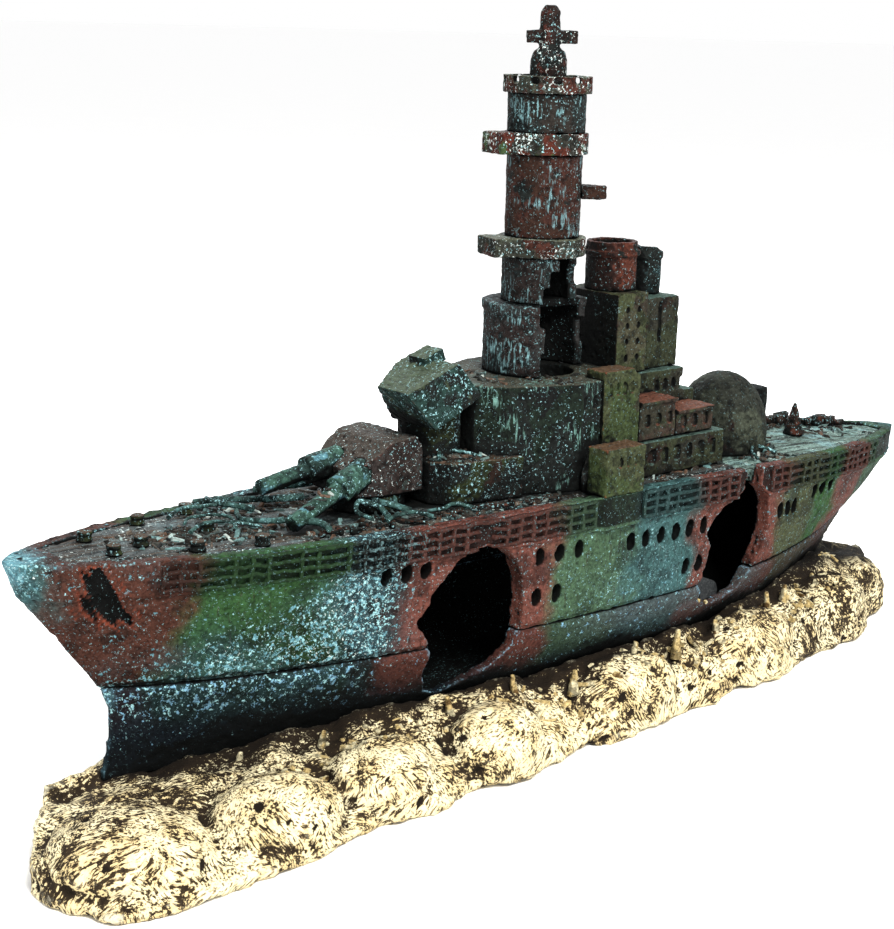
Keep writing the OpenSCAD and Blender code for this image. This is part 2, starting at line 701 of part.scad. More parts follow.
module top_platform() in_frame() color("#3f4a48")
    translate([tower_x, 0, top_shaft_z]) difference() {
        cylinder(r = top_shaft_r + 1.5, h = top_plat_z - top_shaft_z);
        translate([0, 0, 2]) cylinder(r = top_shaft_r + 0.4, h = 4);
        translate([0, 0, -1]) cylinder(r = rod_r + joint_gap, h = 6);
        for (k = [0 : 11])
            rotate([0, 0, 30 * k]) translate([top_shaft_r + 1, 0, 3]) cube([4, 2, 1.6], center = true);
    }

rod_top = top_plat_z + 5;
finial_foot = top_shaft_z + 2;
finial_h = total_h - finial_foot;
module mast_finial() in_frame() color("#33302e")
    translate([tower_x, 0, finial_foot]) difference() {
        union() {
            rotate_extrude() polygon([
                [0, 0], [4.3, 0], [4.3, 5.5], [3.6, 7.6], [2.5, 8.4], [2.3, finial_h - 1.6], [1.3, finial_h], [0, finial_h]
            ]);
            rotate([0, 0, -40]) translate([-5.4, -1.5, 9.3]) cube([12, 3, 3]);
        }
        translate([0, 0, -1]) cylinder(r = rod_r + joint_gap, h = rod_top - finial_foot + 1.2);
    }

module mast_rod() in_frame() color("#9aa0a2")
    translate([tower_x, 0, low_shaft_z]) cylinder(r = rod_r, h = rod_top - low_shaft_z);

module rangefinder_arm() in_frame() color("#6b2f28")
    translate([tower_x, 0, low_plat_z + 9]) difference() {
        rotate([0, 0, -40]) translate([top_shaft_r - 1, -2, 0]) cube([7, 4, 3.2]);
        translate([0, 0, -1]) cylinder(r = top_shaft_r, h = 8);
    }

// Aft turret
aft_turret_x = 67;
module aft_turret_hood() in_frame() color("#566058") difference() {
    translate([aft_turret_x, 0, stern_deck_z]) rotate_extrude()
        polygon(concat([[0, 0], [12.6, 0], [12.6, 5]],
            [for (a = [10 : 10 : 80]) [12.6 * cos(a), 5 + 16 * sin(a)]], [[0, 21]]));
    aft_block_shape(joint_gap);
}

module aft_block_shape(grow) {
    translate([aft_turret_x + 6 - grow, -2 - grow, stern_deck_z]) cube([11 + 2 * grow, 10 + 2 * grow, 15 + grow]);
}

module aft_turret_block() in_frame() color("#1f2423") aft_block_shape(0);

// Bubbler: the air line enters through the starboard bank
module inlet_axis() {
    translate([inlet_x, 0, inlet_z]) rotate([-90, 0, 0]) children();
}
sleeve_in = side_y(inlet_x, inlet_z) - hull_wall;

module air_sleeve() in_frame() color("#2b2d2e") inlet_axis() translate([0, 0, sleeve_in]) difference() {
    cylinder(r = sleeve_r, h = sleeve_out - sleeve_in);
    translate([0, 0, -1]) cylinder(r = cart_r + run_gap, h = sleeve_out - sleeve_in + 2);
}

seal_w = 1.4;
seal_at = sleeve_out - 6;
module bubbler_body() in_frame() color("#3a3d3f") inlet_axis() difference() {
    union() {
        translate([0, 0, sleeve_in]) cylinder(r = cart_r, h = sleeve_out - sleeve_in);
        translate([0, 0, sleeve_out]) cylinder(r = head_r, h = head_len);
    }
    translate([0, 0, sleeve_in - 1]) cylinder(r = air_way_r, h = sleeve_out);
    translate([0, 0, sleeve_out - 5]) cylinder(r = elbow_bore, h = 10);
    translate([0, 0, seal_at]) difference() {
        cylinder(r = cart_r + 1, h = seal_w);
        translate([0, 0, -1]) cylinder(r = cart_r - 1, h = seal_w + 2);
    }
}

module cartridge_seal() in_frame() color("#161616") inlet_axis() translate([0, 0, seal_at]) difference() {
    cylinder(r = cart_r, h = seal_w);
    translate([0, 0, -1]) cylinder(r = cart_r - 1, h = seal_w + 2);
}

module air_stone() in_frame() color("#7f8fa0") inlet_axis()
    translate([0, 0, sleeve_in - stone_len]) cylinder(r = stone_r, h = stone_len);

elbow_out = sleeve_out + head_len + 0.2;
elbow_w = 5.8;
spigot_lead = 1;
module inlet_elbow() in_frame() color("#dfe3e2") difference() {
    union() {
        inlet_axis() translate([0, 0, sleeve_out - 4.8]) cylinder(r = spigot_r, h = 4.8 + head_len + 0.3);
        translate([inlet_x, elbow_out + elbow_w / 2, inlet_z]) cube(elbow_w, center = true);
        translate([inlet_x, elbow_out + elbow_w / 2, inlet_z + elbow_w / 2]) {
            cylinder(r = spigot_r, h = spigot_len - spigot_lead);
            translate([0, 0, spigot_len - spigot_lead])
                cylinder(r1 = spigot_r, r2 = spigot_r - spigot_lead / 2, h = spigot_lead);
        }
    }
    inlet_axis() translate([0, 0, sleeve_out - 6]) cylinder(r = air_way_r, h = elbow_out + elbow_w / 2 - sleeve_out + 6);
    translate([inlet_x, elbow_out + elbow_w / 2, inlet_z]) cylinder(r = air_way_r, h = spigot_len + elbow_w);
}

rock_base();
coral_tufts();
hull_pegs();
lower_hull();
forward_hull();
stern_hull();
main_deck();
stern_deck();
bow_fittings();
fore_wreckage();
stern_wreckage();
gun_step();
turret_a_base();
turret_a_house();
turret_a_port_gun();
turret_a_starboard_gun();
turret_b_base();
turret_b_house();
bridge_block();
port_window_tower();
starboard_window_tower();
port_sponson();
starboard_sponson();
lower_deckhouse();
port_side_house();
starboard_side_house();
port_aft_house();
starboard_aft_house();
upper_deckhouse();
mid_house();
funnel_trunk();
forward_funnel();
aft_funnel();
tower_drum();
lower_shaft();
lower_platform();
middle_shaft();
middle_platform();
upper_shaft();
top_platform();
mast_finial();
rangefinder_arm();
mast_rod();
aft_turret_hood();
aft_turret_block();
air_sleeve();
bubbler_body();
cartridge_seal();
air_stone();
inlet_elbow();
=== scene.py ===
"""Looks of the broken battleship ornament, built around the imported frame.

Every casting starts from a merged copy of its CAD node. The copy is remeshed,
weathered by one Geometry Nodes tree, and painted by procedural materials that
read the wear and shade which the tree stored on its points.
"""

import math
import random

import bmesh
import bpy
from mathutils import Matrix, Vector
from mathutils.bvhtree import BVHTree


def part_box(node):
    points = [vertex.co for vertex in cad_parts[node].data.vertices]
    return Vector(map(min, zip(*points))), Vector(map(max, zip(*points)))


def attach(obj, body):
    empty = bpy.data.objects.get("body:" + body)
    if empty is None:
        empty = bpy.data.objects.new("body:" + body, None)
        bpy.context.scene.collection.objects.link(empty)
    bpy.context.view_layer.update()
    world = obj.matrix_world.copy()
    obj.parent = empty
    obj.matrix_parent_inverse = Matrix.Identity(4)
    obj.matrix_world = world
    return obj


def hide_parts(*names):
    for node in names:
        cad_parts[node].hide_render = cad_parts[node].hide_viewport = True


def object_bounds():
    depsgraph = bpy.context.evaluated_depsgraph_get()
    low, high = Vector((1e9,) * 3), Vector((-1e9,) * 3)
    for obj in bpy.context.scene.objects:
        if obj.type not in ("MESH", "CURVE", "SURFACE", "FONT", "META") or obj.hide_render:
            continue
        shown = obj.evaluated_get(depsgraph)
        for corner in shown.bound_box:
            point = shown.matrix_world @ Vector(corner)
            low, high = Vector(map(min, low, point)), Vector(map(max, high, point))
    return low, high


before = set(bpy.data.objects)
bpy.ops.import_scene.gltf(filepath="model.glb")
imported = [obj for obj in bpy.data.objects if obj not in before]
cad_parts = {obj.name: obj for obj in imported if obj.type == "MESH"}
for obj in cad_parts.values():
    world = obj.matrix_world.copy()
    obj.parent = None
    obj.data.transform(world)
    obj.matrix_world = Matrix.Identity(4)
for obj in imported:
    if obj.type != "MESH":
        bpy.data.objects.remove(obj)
cad_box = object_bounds()
scene = bpy.context.scene
MM = 0.001

# ---------------------------------------------------------------- camera and light

CAMERA_AT = Vector((-0.2897, -0.3050, 0.1641))
LOOK_AT = Vector((-0.0104, 0.0192, 0.0574))
CAMERA_ROLL = 1.609
LENS_MM = 67.8
SENSOR = 36.0


def place_camera():
    data = bpy.data.cameras.new("camera")
    data.sensor_width = SENSOR
    data.lens = LENS_MM
    data.clip_start = 0.01
    camera = bpy.data.objects.new("camera", data)
    scene.collection.objects.link(camera)
    turn = (LOOK_AT - CAMERA_AT).to_track_quat("-Z", "Y").to_matrix()
    roll = Matrix.Rotation(math.radians(CAMERA_ROLL), 3, "Z")
    camera.matrix_world = Matrix.Translation(CAMERA_AT) @ (turn @ roll).to_4x4()
    scene.camera = camera


def area_light(name, at, aim, size, watts, colour=(1, 1, 1)):
    data = bpy.data.lights.new(name, "AREA")
    data.shape = "DISK"
    data.size = size
    data.energy = watts
    data.color = colour
    light = bpy.data.objects.new(name, data)
    light.matrix_world = Matrix.Translation(at) @ (Vector(aim) - Vector(at)).to_track_quat("-Z", "Y").to_matrix().to_4x4()
    scene.collection.objects.link(light)


def light_studio():
    world = bpy.data.worlds.new("studio")
    world.use_nodes = True
    world.node_tree.nodes["Background"].inputs["Color"].default_value = (1, 1, 1, 1)
    world.node_tree.nodes["Background"].inputs["Strength"].default_value = 1.0
    scene.world = world
    area_light("key", (-0.22, -0.55, 0.62), (0, 0, 0.04), 0.3, 11, (1, 0.97, 0.92))
    area_light("back", (0.35, 0.5, 0.5), (0, 0, 0.08), 0.4, 4, (0.9, 0.96, 1))
    scene.view_settings.view_transform = "Standard"
    scene.view_settings.look = "None"


# ---------------------------------------------------------------- shader maths


class Val:
    """A shader socket that takes part in Python arithmetic."""

    def __init__(self, paint, socket):
        self.paint = paint
        self.socket = socket

    def math(self, operation, *others, clamp=False):
        settings = {"operation": operation, "use_clamp": clamp}
        return self.paint.node("ShaderNodeMath", settings, dict(enumerate((self,) + others)))

    def __add__(self, other):
        return self.math("ADD", other)

    def __sub__(self, other):
        return self.math("SUBTRACT", other)

    def __rsub__(self, other):
        return self.paint.node("ShaderNodeMath", {"operation": "SUBTRACT"}, {0: other, 1: self})

    def __mul__(self, other):
        return self.math("MULTIPLY", other)

    __radd__ = __add__
    __rmul__ = __mul__

    def at_least(self, other):
        return self.math("MAXIMUM", other)

    def at_most(self, other):
        return self.math("MINIMUM", other)

    def step(self, low, high):
        """0 below low, 1 above high, smooth between. low may be above high."""
        settings = {"interpolation_type": "SMOOTHSTEP", "clamp": True}
        if low > high:
            return 1 - self.step(high, low)
        return self.paint.node("ShaderNodeMapRange", settings, {"Value": self, "From Min": low, "From Max": high}, "Result")


class Paint:
    """Builds one procedural material."""

    def __init__(self, name, roughness=0.8, specular=0.05):
        self.material = bpy.data.materials.new(name)
        self.material.use_nodes = True
        self.tree = self.material.node_tree
        self.shader = self.tree.nodes["Principled BSDF"]
        self.shader.inputs["Roughness"].default_value = roughness
        self.shader.inputs["Specular IOR Level"].default_value = specular
        self.coords = self.node("ShaderNodeTexCoord", {}, {}, "Object")

    def node(self, kind, settings, values, output=0):
        made = self.tree.nodes.new(kind)
        for key, value in settings.items():
            if key == "stops":
                self.set_stops(made.color_ramp, value)
            else:
                setattr(made, key, value)
        for key, value in values.items():
            socket = made.inputs[key]
            if isinstance(value, Val):
                self.tree.links.new(value.socket, socket)
            elif isinstance(value, (tuple, list)) and len(value) == 3 and socket.type == "RGBA":
                socket.default_value = (*value, 1)
            else:
                socket.default_value = value
        return Val(self, made.outputs[output])

    @staticmethod
    def set_stops(ramp, stops):
        while len(ramp.elements) < len(stops):
            ramp.elements.new(1)
        for element, (place, colour) in zip(ramp.elements, stops):
            element.position = place
            element.color = (*colour, 1)

    def attribute(self, name):
        return self.node("ShaderNodeAttribute", {"attribute_name": name}, {}, "Fac")

    def axis(self, index):
        return self.node("ShaderNodeSeparateXYZ", {}, {0: self.coords}, index) * (1 / MM)

    def placed(self, size, stretch, shift, turn=(0, 0, 0), warp=0.0):
        """Coordinates in cells of size millimetres, turned, stretched and wavy as asked."""
        where = self.coords
        if warp:
            wave = self.node("ShaderNodeTexNoise", {}, {"Vector": where, "Scale": 1 / (14 * MM), "Detail": 1.0}, "Color")
            wave = self.node("ShaderNodeVectorMath", {"operation": "SUBTRACT"}, {0: wave, 1: (0.5, 0.5, 0.5)})
            wave = self.node("ShaderNodeVectorMath", {"operation": "SCALE"}, {0: wave, "Scale": warp * MM})
            where = self.node("ShaderNodeVectorMath", {"operation": "ADD"}, {0: where, 1: wave})
        return self.node("ShaderNodeMapping", {"vector_type": "TEXTURE"}, {
            "Vector": where, "Scale": [size * MM * s for s in stretch], "Rotation": turn,
            "Location": [shift * size * MM] * 3})

    def noise(self, size, detail=3, rough=0.55, stretch=(1, 1, 1), shift=0.0, turn=(0, 0, 0), warp=0.0):
        """Noise whose features are about size millimetres across."""
        return self.node("ShaderNodeTexNoise", {}, {
            "Vector": self.placed(size, stretch, shift, turn, warp), "Scale": 1.0, "Detail": detail, "Roughness": rough})

    def cells(self, size, stretch=(1, 1, 1), feature="F1", shift=0.0):
        return self.node("ShaderNodeTexVoronoi", {"feature": feature}, {
            "Vector": self.placed(size, stretch, shift), "Scale": 1.0}, "Distance")

    def mix(self, under, over, amount):
        return self.node("ShaderNodeMix", {"data_type": "RGBA", "clamp_factor": True}, {0: amount, 6: under, 7: over}, 2)

    def tint(self, colour, amount):
        """Brightens or darkens a colour by a value."""
        grey = self.node("ShaderNodeCombineColor", {}, {0: amount, 1: amount, 2: amount})
        return self.node("ShaderNodeMix", {"data_type": "RGBA", "blend_type": "MULTIPLY"}, {0: 1.0, 6: colour, 7: grey}, 2)

    def colour(self, value):
        self.tree.links.new(value.socket, self.shader.inputs["Base Color"])

    def rough(self, value):
        self.tree.links.new(value.socket, self.shader.inputs["Roughness"])

    def bump(self, height, depth_mm, strength=1.0):
        bumped = self.node("ShaderNodeBump", {}, {"Height": height, "Strength": strength, "Distance": depth_mm * MM}, "Normal")
        self.tree.links.new(bumped.socket, self.shader.inputs["Normal"])


# Colours, linear
RUST = (0.060, 0.024, 0.017)
RED_RUST = (0.150, 0.034, 0.018)
BRICK = (0.115, 0.042, 0.032)
DARK_RUST = (0.024, 0.014, 0.011)
GREEN = (0.026, 0.070, 0.024)
OLIVE = (0.045, 0.085, 0.048)
DRAB = (0.052, 0.062, 0.030)
SEA = (0.035, 0.085, 0.085)
SKY = (0.11, 0.27, 0.33)
ICE = (0.30, 0.56, 0.60)
WHITE = (0.62, 0.72, 0.70)
NAVY = (0.009, 0.015, 0.022)
# near black: real soot, seams and gravel, and also painted shade in hollows, interiors and shaded sides
SOOT_AND_SHADE = (0.0030, 0.0034, 0.0034)
CHARCOAL = (0.013, 0.016, 0.015)
DECK_GREY = (0.068, 0.080, 0.082)
DECK_BROWN = (0.050, 0.036, 0.026)
SAND_LIGHT = (0.78, 0.70, 0.45)
SAND_MID = (0.62, 0.47, 0.21)
SAND_BROWN = (0.16, 0.095, 0.035)
# near black: real pits and fibres, and also painted shade in the rock's hollows
PIT_AND_SHADE = (0.016, 0.010, 0.005)


def dry_brush(paint, colour, over, density, size=0.9, shift=0.0):
    """Fine broken speckle. Density 0 leaves nothing, 1 covers about half."""
    sparkle = paint.noise(size, 4, 0.72, shift=shift)
    return paint.mix(colour, over, (sparkle + 0.085 * density).step(0.64, 0.67))


def worn_finish(paint, colour, edge_colour, wear=1.0, specks=1.0, speck_colour=ICE, grime=1.0, bump=0.5):
    """Adds grain, dry-brushed edges and specks to a base colour, with dark wash and painted shade in crevices and
    painted shade where little open sky is seen.
    """
    edge = paint.attribute("edge")
    open_sky = paint.attribute("open")
    patch = paint.noise(8, 3, shift=1)
    grain = paint.noise(0.9, 4, 0.75)
    fine = paint.noise(0.6, 3, 0.7, shift=7)
    colour = paint.tint(colour, (2.6 * grain - 0.55).at_least(0.12))
    crumbs = (fine + 0.13 * patch).step(0.70, 0.72)
    colour = paint.mix(colour, speck_colour, crumbs * (0.8 * specks))
    raised = (edge + 0.7 * (fine - 0.5)).step(0.20, 0.42) * patch.step(0.40, 0.56)
    colour = paint.mix(colour, edge_colour, raised * (0.85 * wear))
    # dark wash and painted shade in the crevices
    hollow = (edge + 0.25 * (fine - 0.5)).step(-0.04, -0.30)
    colour = paint.mix(colour, SOOT_AND_SHADE, hollow * (0.9 * grime))
    # painted shade where little open sky is seen: interiors, windows, bores and the feet of walls
    shade = open_sky.step(0.68, 0.34)
    colour = paint.mix(colour, SOOT_AND_SHADE, shade * (0.97 * grime))
    paint.colour(colour)
    paint.rough(0.50 + 0.4 * grain)
    paint.bump(grain + 0.6 * fine, 0.30, bump)
    return paint.material


def blotched(name, first, second, third, size=16, edge_colour=ICE, wear=1.0, specks=1.0, grime=1.0, shift=0.0,
             streaks=0.0, streak_colour=ICE, roof=None, front_dark=0.0, bloom=0.0, red_front=0.0, hollow=0.0):
    """Paint for small castings: three colours in soft-edged patches, with streaks, roofs, bloom, painted shade on
    bow-facing sides and painted shade inside a hollow tube as asked.
    """
    paint = Paint(name)
    large = paint.noise(size, 4, 0.6, shift=shift)
    other = paint.noise(size * 0.6, 4, 0.6, shift=shift + 21)
    colour = paint.mix(first, second, large.step(0.47, 0.54))
    colour = paint.mix(colour, third, other.step(0.56, 0.63))
    colour = paint.tint(colour, 0.75)
    colour = paint.mix(colour, SOOT_AND_SHADE, paint.noise(3.0, 4, 0.7, shift=shift + 60).step(0.50, 0.60) * 0.6)
    if roof:
        flat = (paint.attribute("top") + 0.5 * (other - 0.5)).step(0.55, 0.8)
        colour = paint.mix(colour, roof, flat)
    if streaks:
        run = paint.noise(0.7, 4, 0.7, stretch=(1, 1, 7), shift=shift + 5)
        where = paint.noise(9, 3, shift=shift + 33).step(0.46, 0.60)
        colour = paint.mix(colour, streak_colour, (run + 0.10 * where).step(0.62, 0.70) * where * streaks)
    if bloom:
        cloud = paint.noise(7, 3, shift=shift + 40).step(0.44, 0.60)
        colour = dry_brush(paint, colour, streak_colour, cloud * bloom, 0.8, shift + 2)
    # painted shade on the sides that face the bow
    if front_dark:
        colour = paint.mix(colour, SOOT_AND_SHADE, paint.attribute("front").step(0.3, 0.75) * front_dark)
    # painted shade on the inner wall of a hollow tube around the mast rod's axis
    if hollow:
        low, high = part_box("mast_rod")
        along = paint.axis(0) - (low.x + high.x) / 2 / MM
        across = paint.axis(1)
        inner_shade = (along * along + across * across).step(hollow * hollow, (hollow - 0.6) ** 2)
        colour = paint.mix(colour, SOOT_AND_SHADE, inner_shade)
    if red_front:
        lip = paint.attribute("front").step(-0.1, 0.5) * paint.attribute("edge").step(0.12, 0.32)
        colour = paint.mix(colour, RED_RUST, lip * red_front)
    return worn_finish(paint, colour, edge_colour, wear, specks, grime=grime)


# Bands of hull colour from bow to stern: where each starts (mm) and its paint
HULL_BANDS = [
    (-150, SEA), (-139, RUST), (-111, GREEN), (-78, CHARCOAL), (-66, BRICK), (-22, OLIVE), (4, SEA), (26, BRICK),
    (64, DRAB), (80, GREEN), (93, BRICK), (112, OLIVE), (138, SEA)
]


def hull_colour(paint, x):
    wave = paint.noise(20, 4, 0.62)
    place = x + (wave - 0.5) * 30
    colour = HULL_BANDS[0][1]
    for start, band in HULL_BANDS[1:]:
        colour = paint.mix(colour, band, place.step(start - 3, start + 4))
    return colour


def hull_paint(name):
    paint = Paint(name)
    x = paint.axis(0) - 4
    z = paint.axis(2)
    colour = hull_colour(paint, x)
    drift = paint.noise(14, 3, shift=31)
    run = paint.noise(0.9, 4, 0.7, stretch=(1, 1, 8), shift=13)
    colour = paint.mix(colour, DARK_RUST, run.step(0.55, 0.66) * 0.55)
    colour = paint.mix(colour, SOOT_AND_SHADE, paint.noise(11, 4, 0.7, shift=61).step(0.50, 0.62) * 0.55)
    # chalky blue: solid along the stem, broken further aft and down
    stem = (x + 0.62 * (58 - z)).step(-134, -143)
    bow_low = (z - 0.35 * (x + 110)).step(44, 30) * x.step(-62, -74)
    beside_hole = x.step(-86, -74) * x.step(-58, -66)
    aft_low = z.step(44, 33) * x.step(-24, 4) * x.step(60, 30)
    density = (1.1 * stem + 0.9 * bow_low + 0.8 * beside_hole + 0.3 * aft_low + 0.2 * drift.step(0.52, 0.66)).at_most(1.1)
    colour = paint.mix(colour, SOOT_AND_SHADE, (bow_low + beside_hole).at_most(1.0) * 0.6)
    colour = paint.mix(colour, SKY, (stem * 0.7 + 0.12 * density) * drift.step(0.36, 0.55))
    colour = dry_brush(paint, colour, (0.11, 0.26, 0.31), density, 1.5, 5)
    colour = dry_brush(paint, colour, ICE, density - 0.2, 1.0, 15)
    colour = dry_brush(paint, colour, WHITE, density - 0.8, 0.6, 9)
    # painted shade on the inner faces, then red bloom around the gouge in the bow
    colour = paint.mix(colour, SOOT_AND_SHADE, paint.attribute("inside"))
    gouge = paint.attribute("gouge")
    colour = paint.mix(colour, RED_RUST, gouge.step(0.05, 0.4) * run.step(0.35, 0.55) * 0.8)
    colour = paint.mix(colour, SOOT_AND_SHADE, gouge.step(0.45, 0.8))
    # painted shade on the recessed ground behind the rails
    below = paint.attribute("below_rim")
    colour = paint.mix(colour, SOOT_AND_SHADE, below.step(7.6, 7.0) * below.step(-0.5, 0.5) * paint.attribute("banded") * 0.85)
    return worn_finish(paint, colour, (0.20, 0.40, 0.44), 0.8, 0.45)


def rail_paint(name):
    paint = Paint(name)
    x = paint.axis(0) - 4
    colour = hull_colour(paint, x)
    colour = paint.tint(colour, 1.5)
    colour = dry_brush(paint, colour, ICE, x.step(-84, -70) * x.step(-52, -66) + 0.4, 0.7, 3)
    return worn_finish(paint, colour, (0.26, 0.36, 0.30), 0.6, 0.3, grime=0.75)


def lower_hull_paint(name):
    paint = Paint(name)
    x = paint.axis(0) - 4
    z = paint.axis(2)
    ground = paint.mix(paint.tint(NAVY, 0.5), paint.tint(CHARCOAL, 0.5), paint.noise(24, 3).step(0.45, 0.6))
    colour = paint.mix(paint.tint(hull_colour(paint, x), 0.55), ground, z.step(25, 16))
    colour = paint.mix(colour, ground, x.step(-66, -80) * 0.8)
    colour = paint.mix(colour, (0.050, 0.060, 0.062), x.step(-25, 10) * z.step(18, 28) * x.step(70, 50) * 0.8)
    colour = paint.mix(colour, (0.050, 0.033, 0.030), x.step(50, 90) * z.step(14, 24) * 0.7)
    stem = (x + 0.15 * (29 - z)).step(-120, -126)
    high = z.step(17, 25)
    density = (1.1 * stem + high * x.step(-60, -78) * 0.85 + 0.35 * high * x.step(-25, 0) * x.step(70, 40)).at_most(1.15)
    colour = paint.mix(colour, SKY, (stem + 0.12 * density) * paint.noise(6, 4, 0.7, shift=3).step(0.4, 0.6) * 0.7)
    colour = dry_brush(paint, colour, (0.16, 0.33, 0.46), density, 1.5, 8)
    colour = dry_brush(paint, colour, ICE, density - 0.2, 1.0, 18)
    # painted shade on the inner faces
    colour = paint.mix(colour, SOOT_AND_SHADE, paint.attribute("inside"))
    return worn_finish(paint, colour, (0.18, 0.34, 0.44), 0.7, 0.25)


def deck_paint(name, ground, planks, wash, wash_amount):
    paint = Paint(name)
    board = paint.noise(1, 2, 0.5, stretch=(26, 1.6, 3), shift=2)
    colour = paint.mix(ground, planks, board.step(0.40, 0.62))
    seam = paint.noise(1, 1, 0.4, stretch=(30, 0.7, 3), shift=17)
    colour = paint.mix(colour, SOOT_AND_SHADE, seam.step(0.54, 0.62) * 0.85)
    colour = paint.mix(colour, wash, paint.noise(9, 4, 0.65, shift=4).step(0.50, 0.64) * wash_amount)
    rubble = paint.noise(2.1, 4, 0.75, shift=9)
    colour = paint.mix(colour, SOOT_AND_SHADE, rubble.step(0.54, 0.62) * 0.85)
    colour = dry_brush(paint, colour, WHITE, paint.noise(10, 2, shift=50).step(0.45, 0.65) * 0.7, 0.8, 19)
    colour = paint.mix(colour, DARK_RUST, paint.noise(3.2, 3, 0.7, shift=29).step(0.60, 0.68) * 0.7)
    return worn_finish(paint, colour, (0.26, 0.40, 0.42), 0.8, 0.5)


def rock_paint(name):
    paint = Paint(name, 0.85, 0.15)
    edge = paint.attribute("edge")
    open_sky = paint.attribute("open")
    x, y, z = (paint.axis(k) for k in range(3))
    patch = paint.noise(20, 3, 0.5, shift=6)
    blot = paint.noise(7, 3, 0.6, shift=44)
    # short fibres that lean one way, then another
    fibre = paint.noise(0.62, 3, 0.6, stretch=(1, 1, 6), shift=3, turn=(0.55, 0.75, 0.2), warp=9)
    cross = paint.noise(0.55, 3, 0.6, stretch=(1, 1, 5), shift=9, turn=(-0.4, -0.5, 0.9), warp=12)
    weave = paint.node("ShaderNodeMix", {"data_type": "FLOAT"}, {0: patch.step(0.46, 0.54), 2: fibre, 3: cross})
    pits = paint.noise(1.1, 4, 0.75, shift=12)
    colour = paint.mix(SAND_LIGHT, SAND_MID, blot.step(0.40, 0.62) * 0.75)
    # painted shade where little open sky is seen, near the hull and between lumps
    foot = open_sky.step(0.88, 0.45)
    beside_hull = (y * y + 260 * (blot - 0.5)).step(1180, 820)
    # dirt and painted shade together: dark blots and the strip beside the hull, plus painted shade at the foot and in
    # hollows
    dirt_and_shade = (0.8 * blot.step(0.46, 0.62) + 1.2 * foot + edge.step(0.02, -0.25) * 1.1 + 0.5 * beside_hull).at_most(2.2)
    colour = paint.mix(colour, SAND_BROWN, (weave + 0.07 * dirt_and_shade).step(0.505, 0.585) * 0.8)
    colour = paint.mix(colour, PIT_AND_SHADE, (weave + 0.11 * dirt_and_shade).step(0.575, 0.63) * 0.95)
    colour = paint.mix(colour, PIT_AND_SHADE, (pits + 0.11 * dirt_and_shade).step(0.60, 0.655))
    # painted shade in hollows and where little open sky is seen
    colour = paint.mix(colour, PIT_AND_SHADE, edge.step(-0.18, -0.5) * 0.8)
    colour = paint.mix(colour, PIT_AND_SHADE, open_sky.step(0.42, 0.12))
    gravel = x.step(82, 96) * (y + 3 * (blot - 0.5)).step(-16, -10) * z.step(12, 15)
    colour = paint.mix(colour, SOOT_AND_SHADE, gravel * pits.step(0.62, 0.5) * 0.95)
    crest = (edge + 0.5 * (pits - 0.5)).step(0.15, 0.4)
    colour = paint.mix(colour, (0.86, 0.80, 0.58), crest * 0.7)
    # painted shade: the whole colour darker where little open sky is seen
    paint.colour(paint.tint(colour, 0.45 + 0.55 * open_sky.step(0.35, 0.92)))
    paint.bump(pits - 1.2 * weave, 0.6, 0.8)
    return paint.material


def litter_paint(name):
    """Each shard takes its colour from its own tone."""
    paint = Paint(name)
    tone = paint.attribute("tone")
    colour = paint.node("ShaderNodeValToRGB", {"stops": [
        (0.0, (0.010, 0.012, 0.012)), (0.45, (0.035, 0.026, 0.020)), (0.66, (0.030, 0.055, 0.055)), (0.80, (0.11, 0.062, 0.04)),
        (0.92, (0.10, 0.20, 0.20)), (1.0, (0.42, 0.48, 0.45))]}, {0: tone})
    return worn_finish(paint, colour, ICE, 0.5, 0.6, grime=0.0)


def plain_finish(name, colour, roughness, grain_mm, depth_mm, second=None):
    paint = Paint(name, roughness, 0.4)
    grain = paint.noise(grain_mm, 3, 0.6)
    paint.colour(paint.mix(colour, second or tuple(0.7 * c for c in colour), grain.step(0.4, 0.7)))
    paint.rough(roughness + 0.15 * (grain - 0.5))
    paint.bump(grain, depth_mm, 0.4)
    return paint.material


# ---------------------------------------------------------------- mesh helpers


def link(name, mesh):
    made = bpy.data.objects.new(name, mesh)
    scene.collection.objects.link(made)
    return made


def merged_copy(name, *nodes):
    """A welded copy of CAD nodes as one new mesh object."""
    cells = bmesh.new()
    for node in nodes:
        cells.from_mesh(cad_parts[node].data)
    bmesh.ops.remove_doubles(cells, verts=cells.verts, dist=0.00001)
    mesh = bpy.data.meshes.new(name)
    cells.to_mesh(mesh)
    cells.free()
    return link(name, mesh)


def bake_modifiers(piece):
    """Turns the evaluated piece into a plain mesh and drops its modifiers."""
    depsgraph = bpy.context.evaluated_depsgraph_get()
    mesh = bpy.data.meshes.new_from_object(piece.evaluated_get(depsgraph))
    piece.modifiers.clear()
    piece.data = mesh
    return piece


def skin_of(*nodes):
    """Ray-cast tree over CAD nodes."""
    points, faces = [], []
    for node in nodes:
        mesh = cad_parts[node].data
        start = len(points)
        points += [v.co.copy() for v in mesh.vertices]
        faces += [[start + k for k in p.vertices] for p in mesh.polygons]
    return BVHTree.FromPolygons(points, faces)


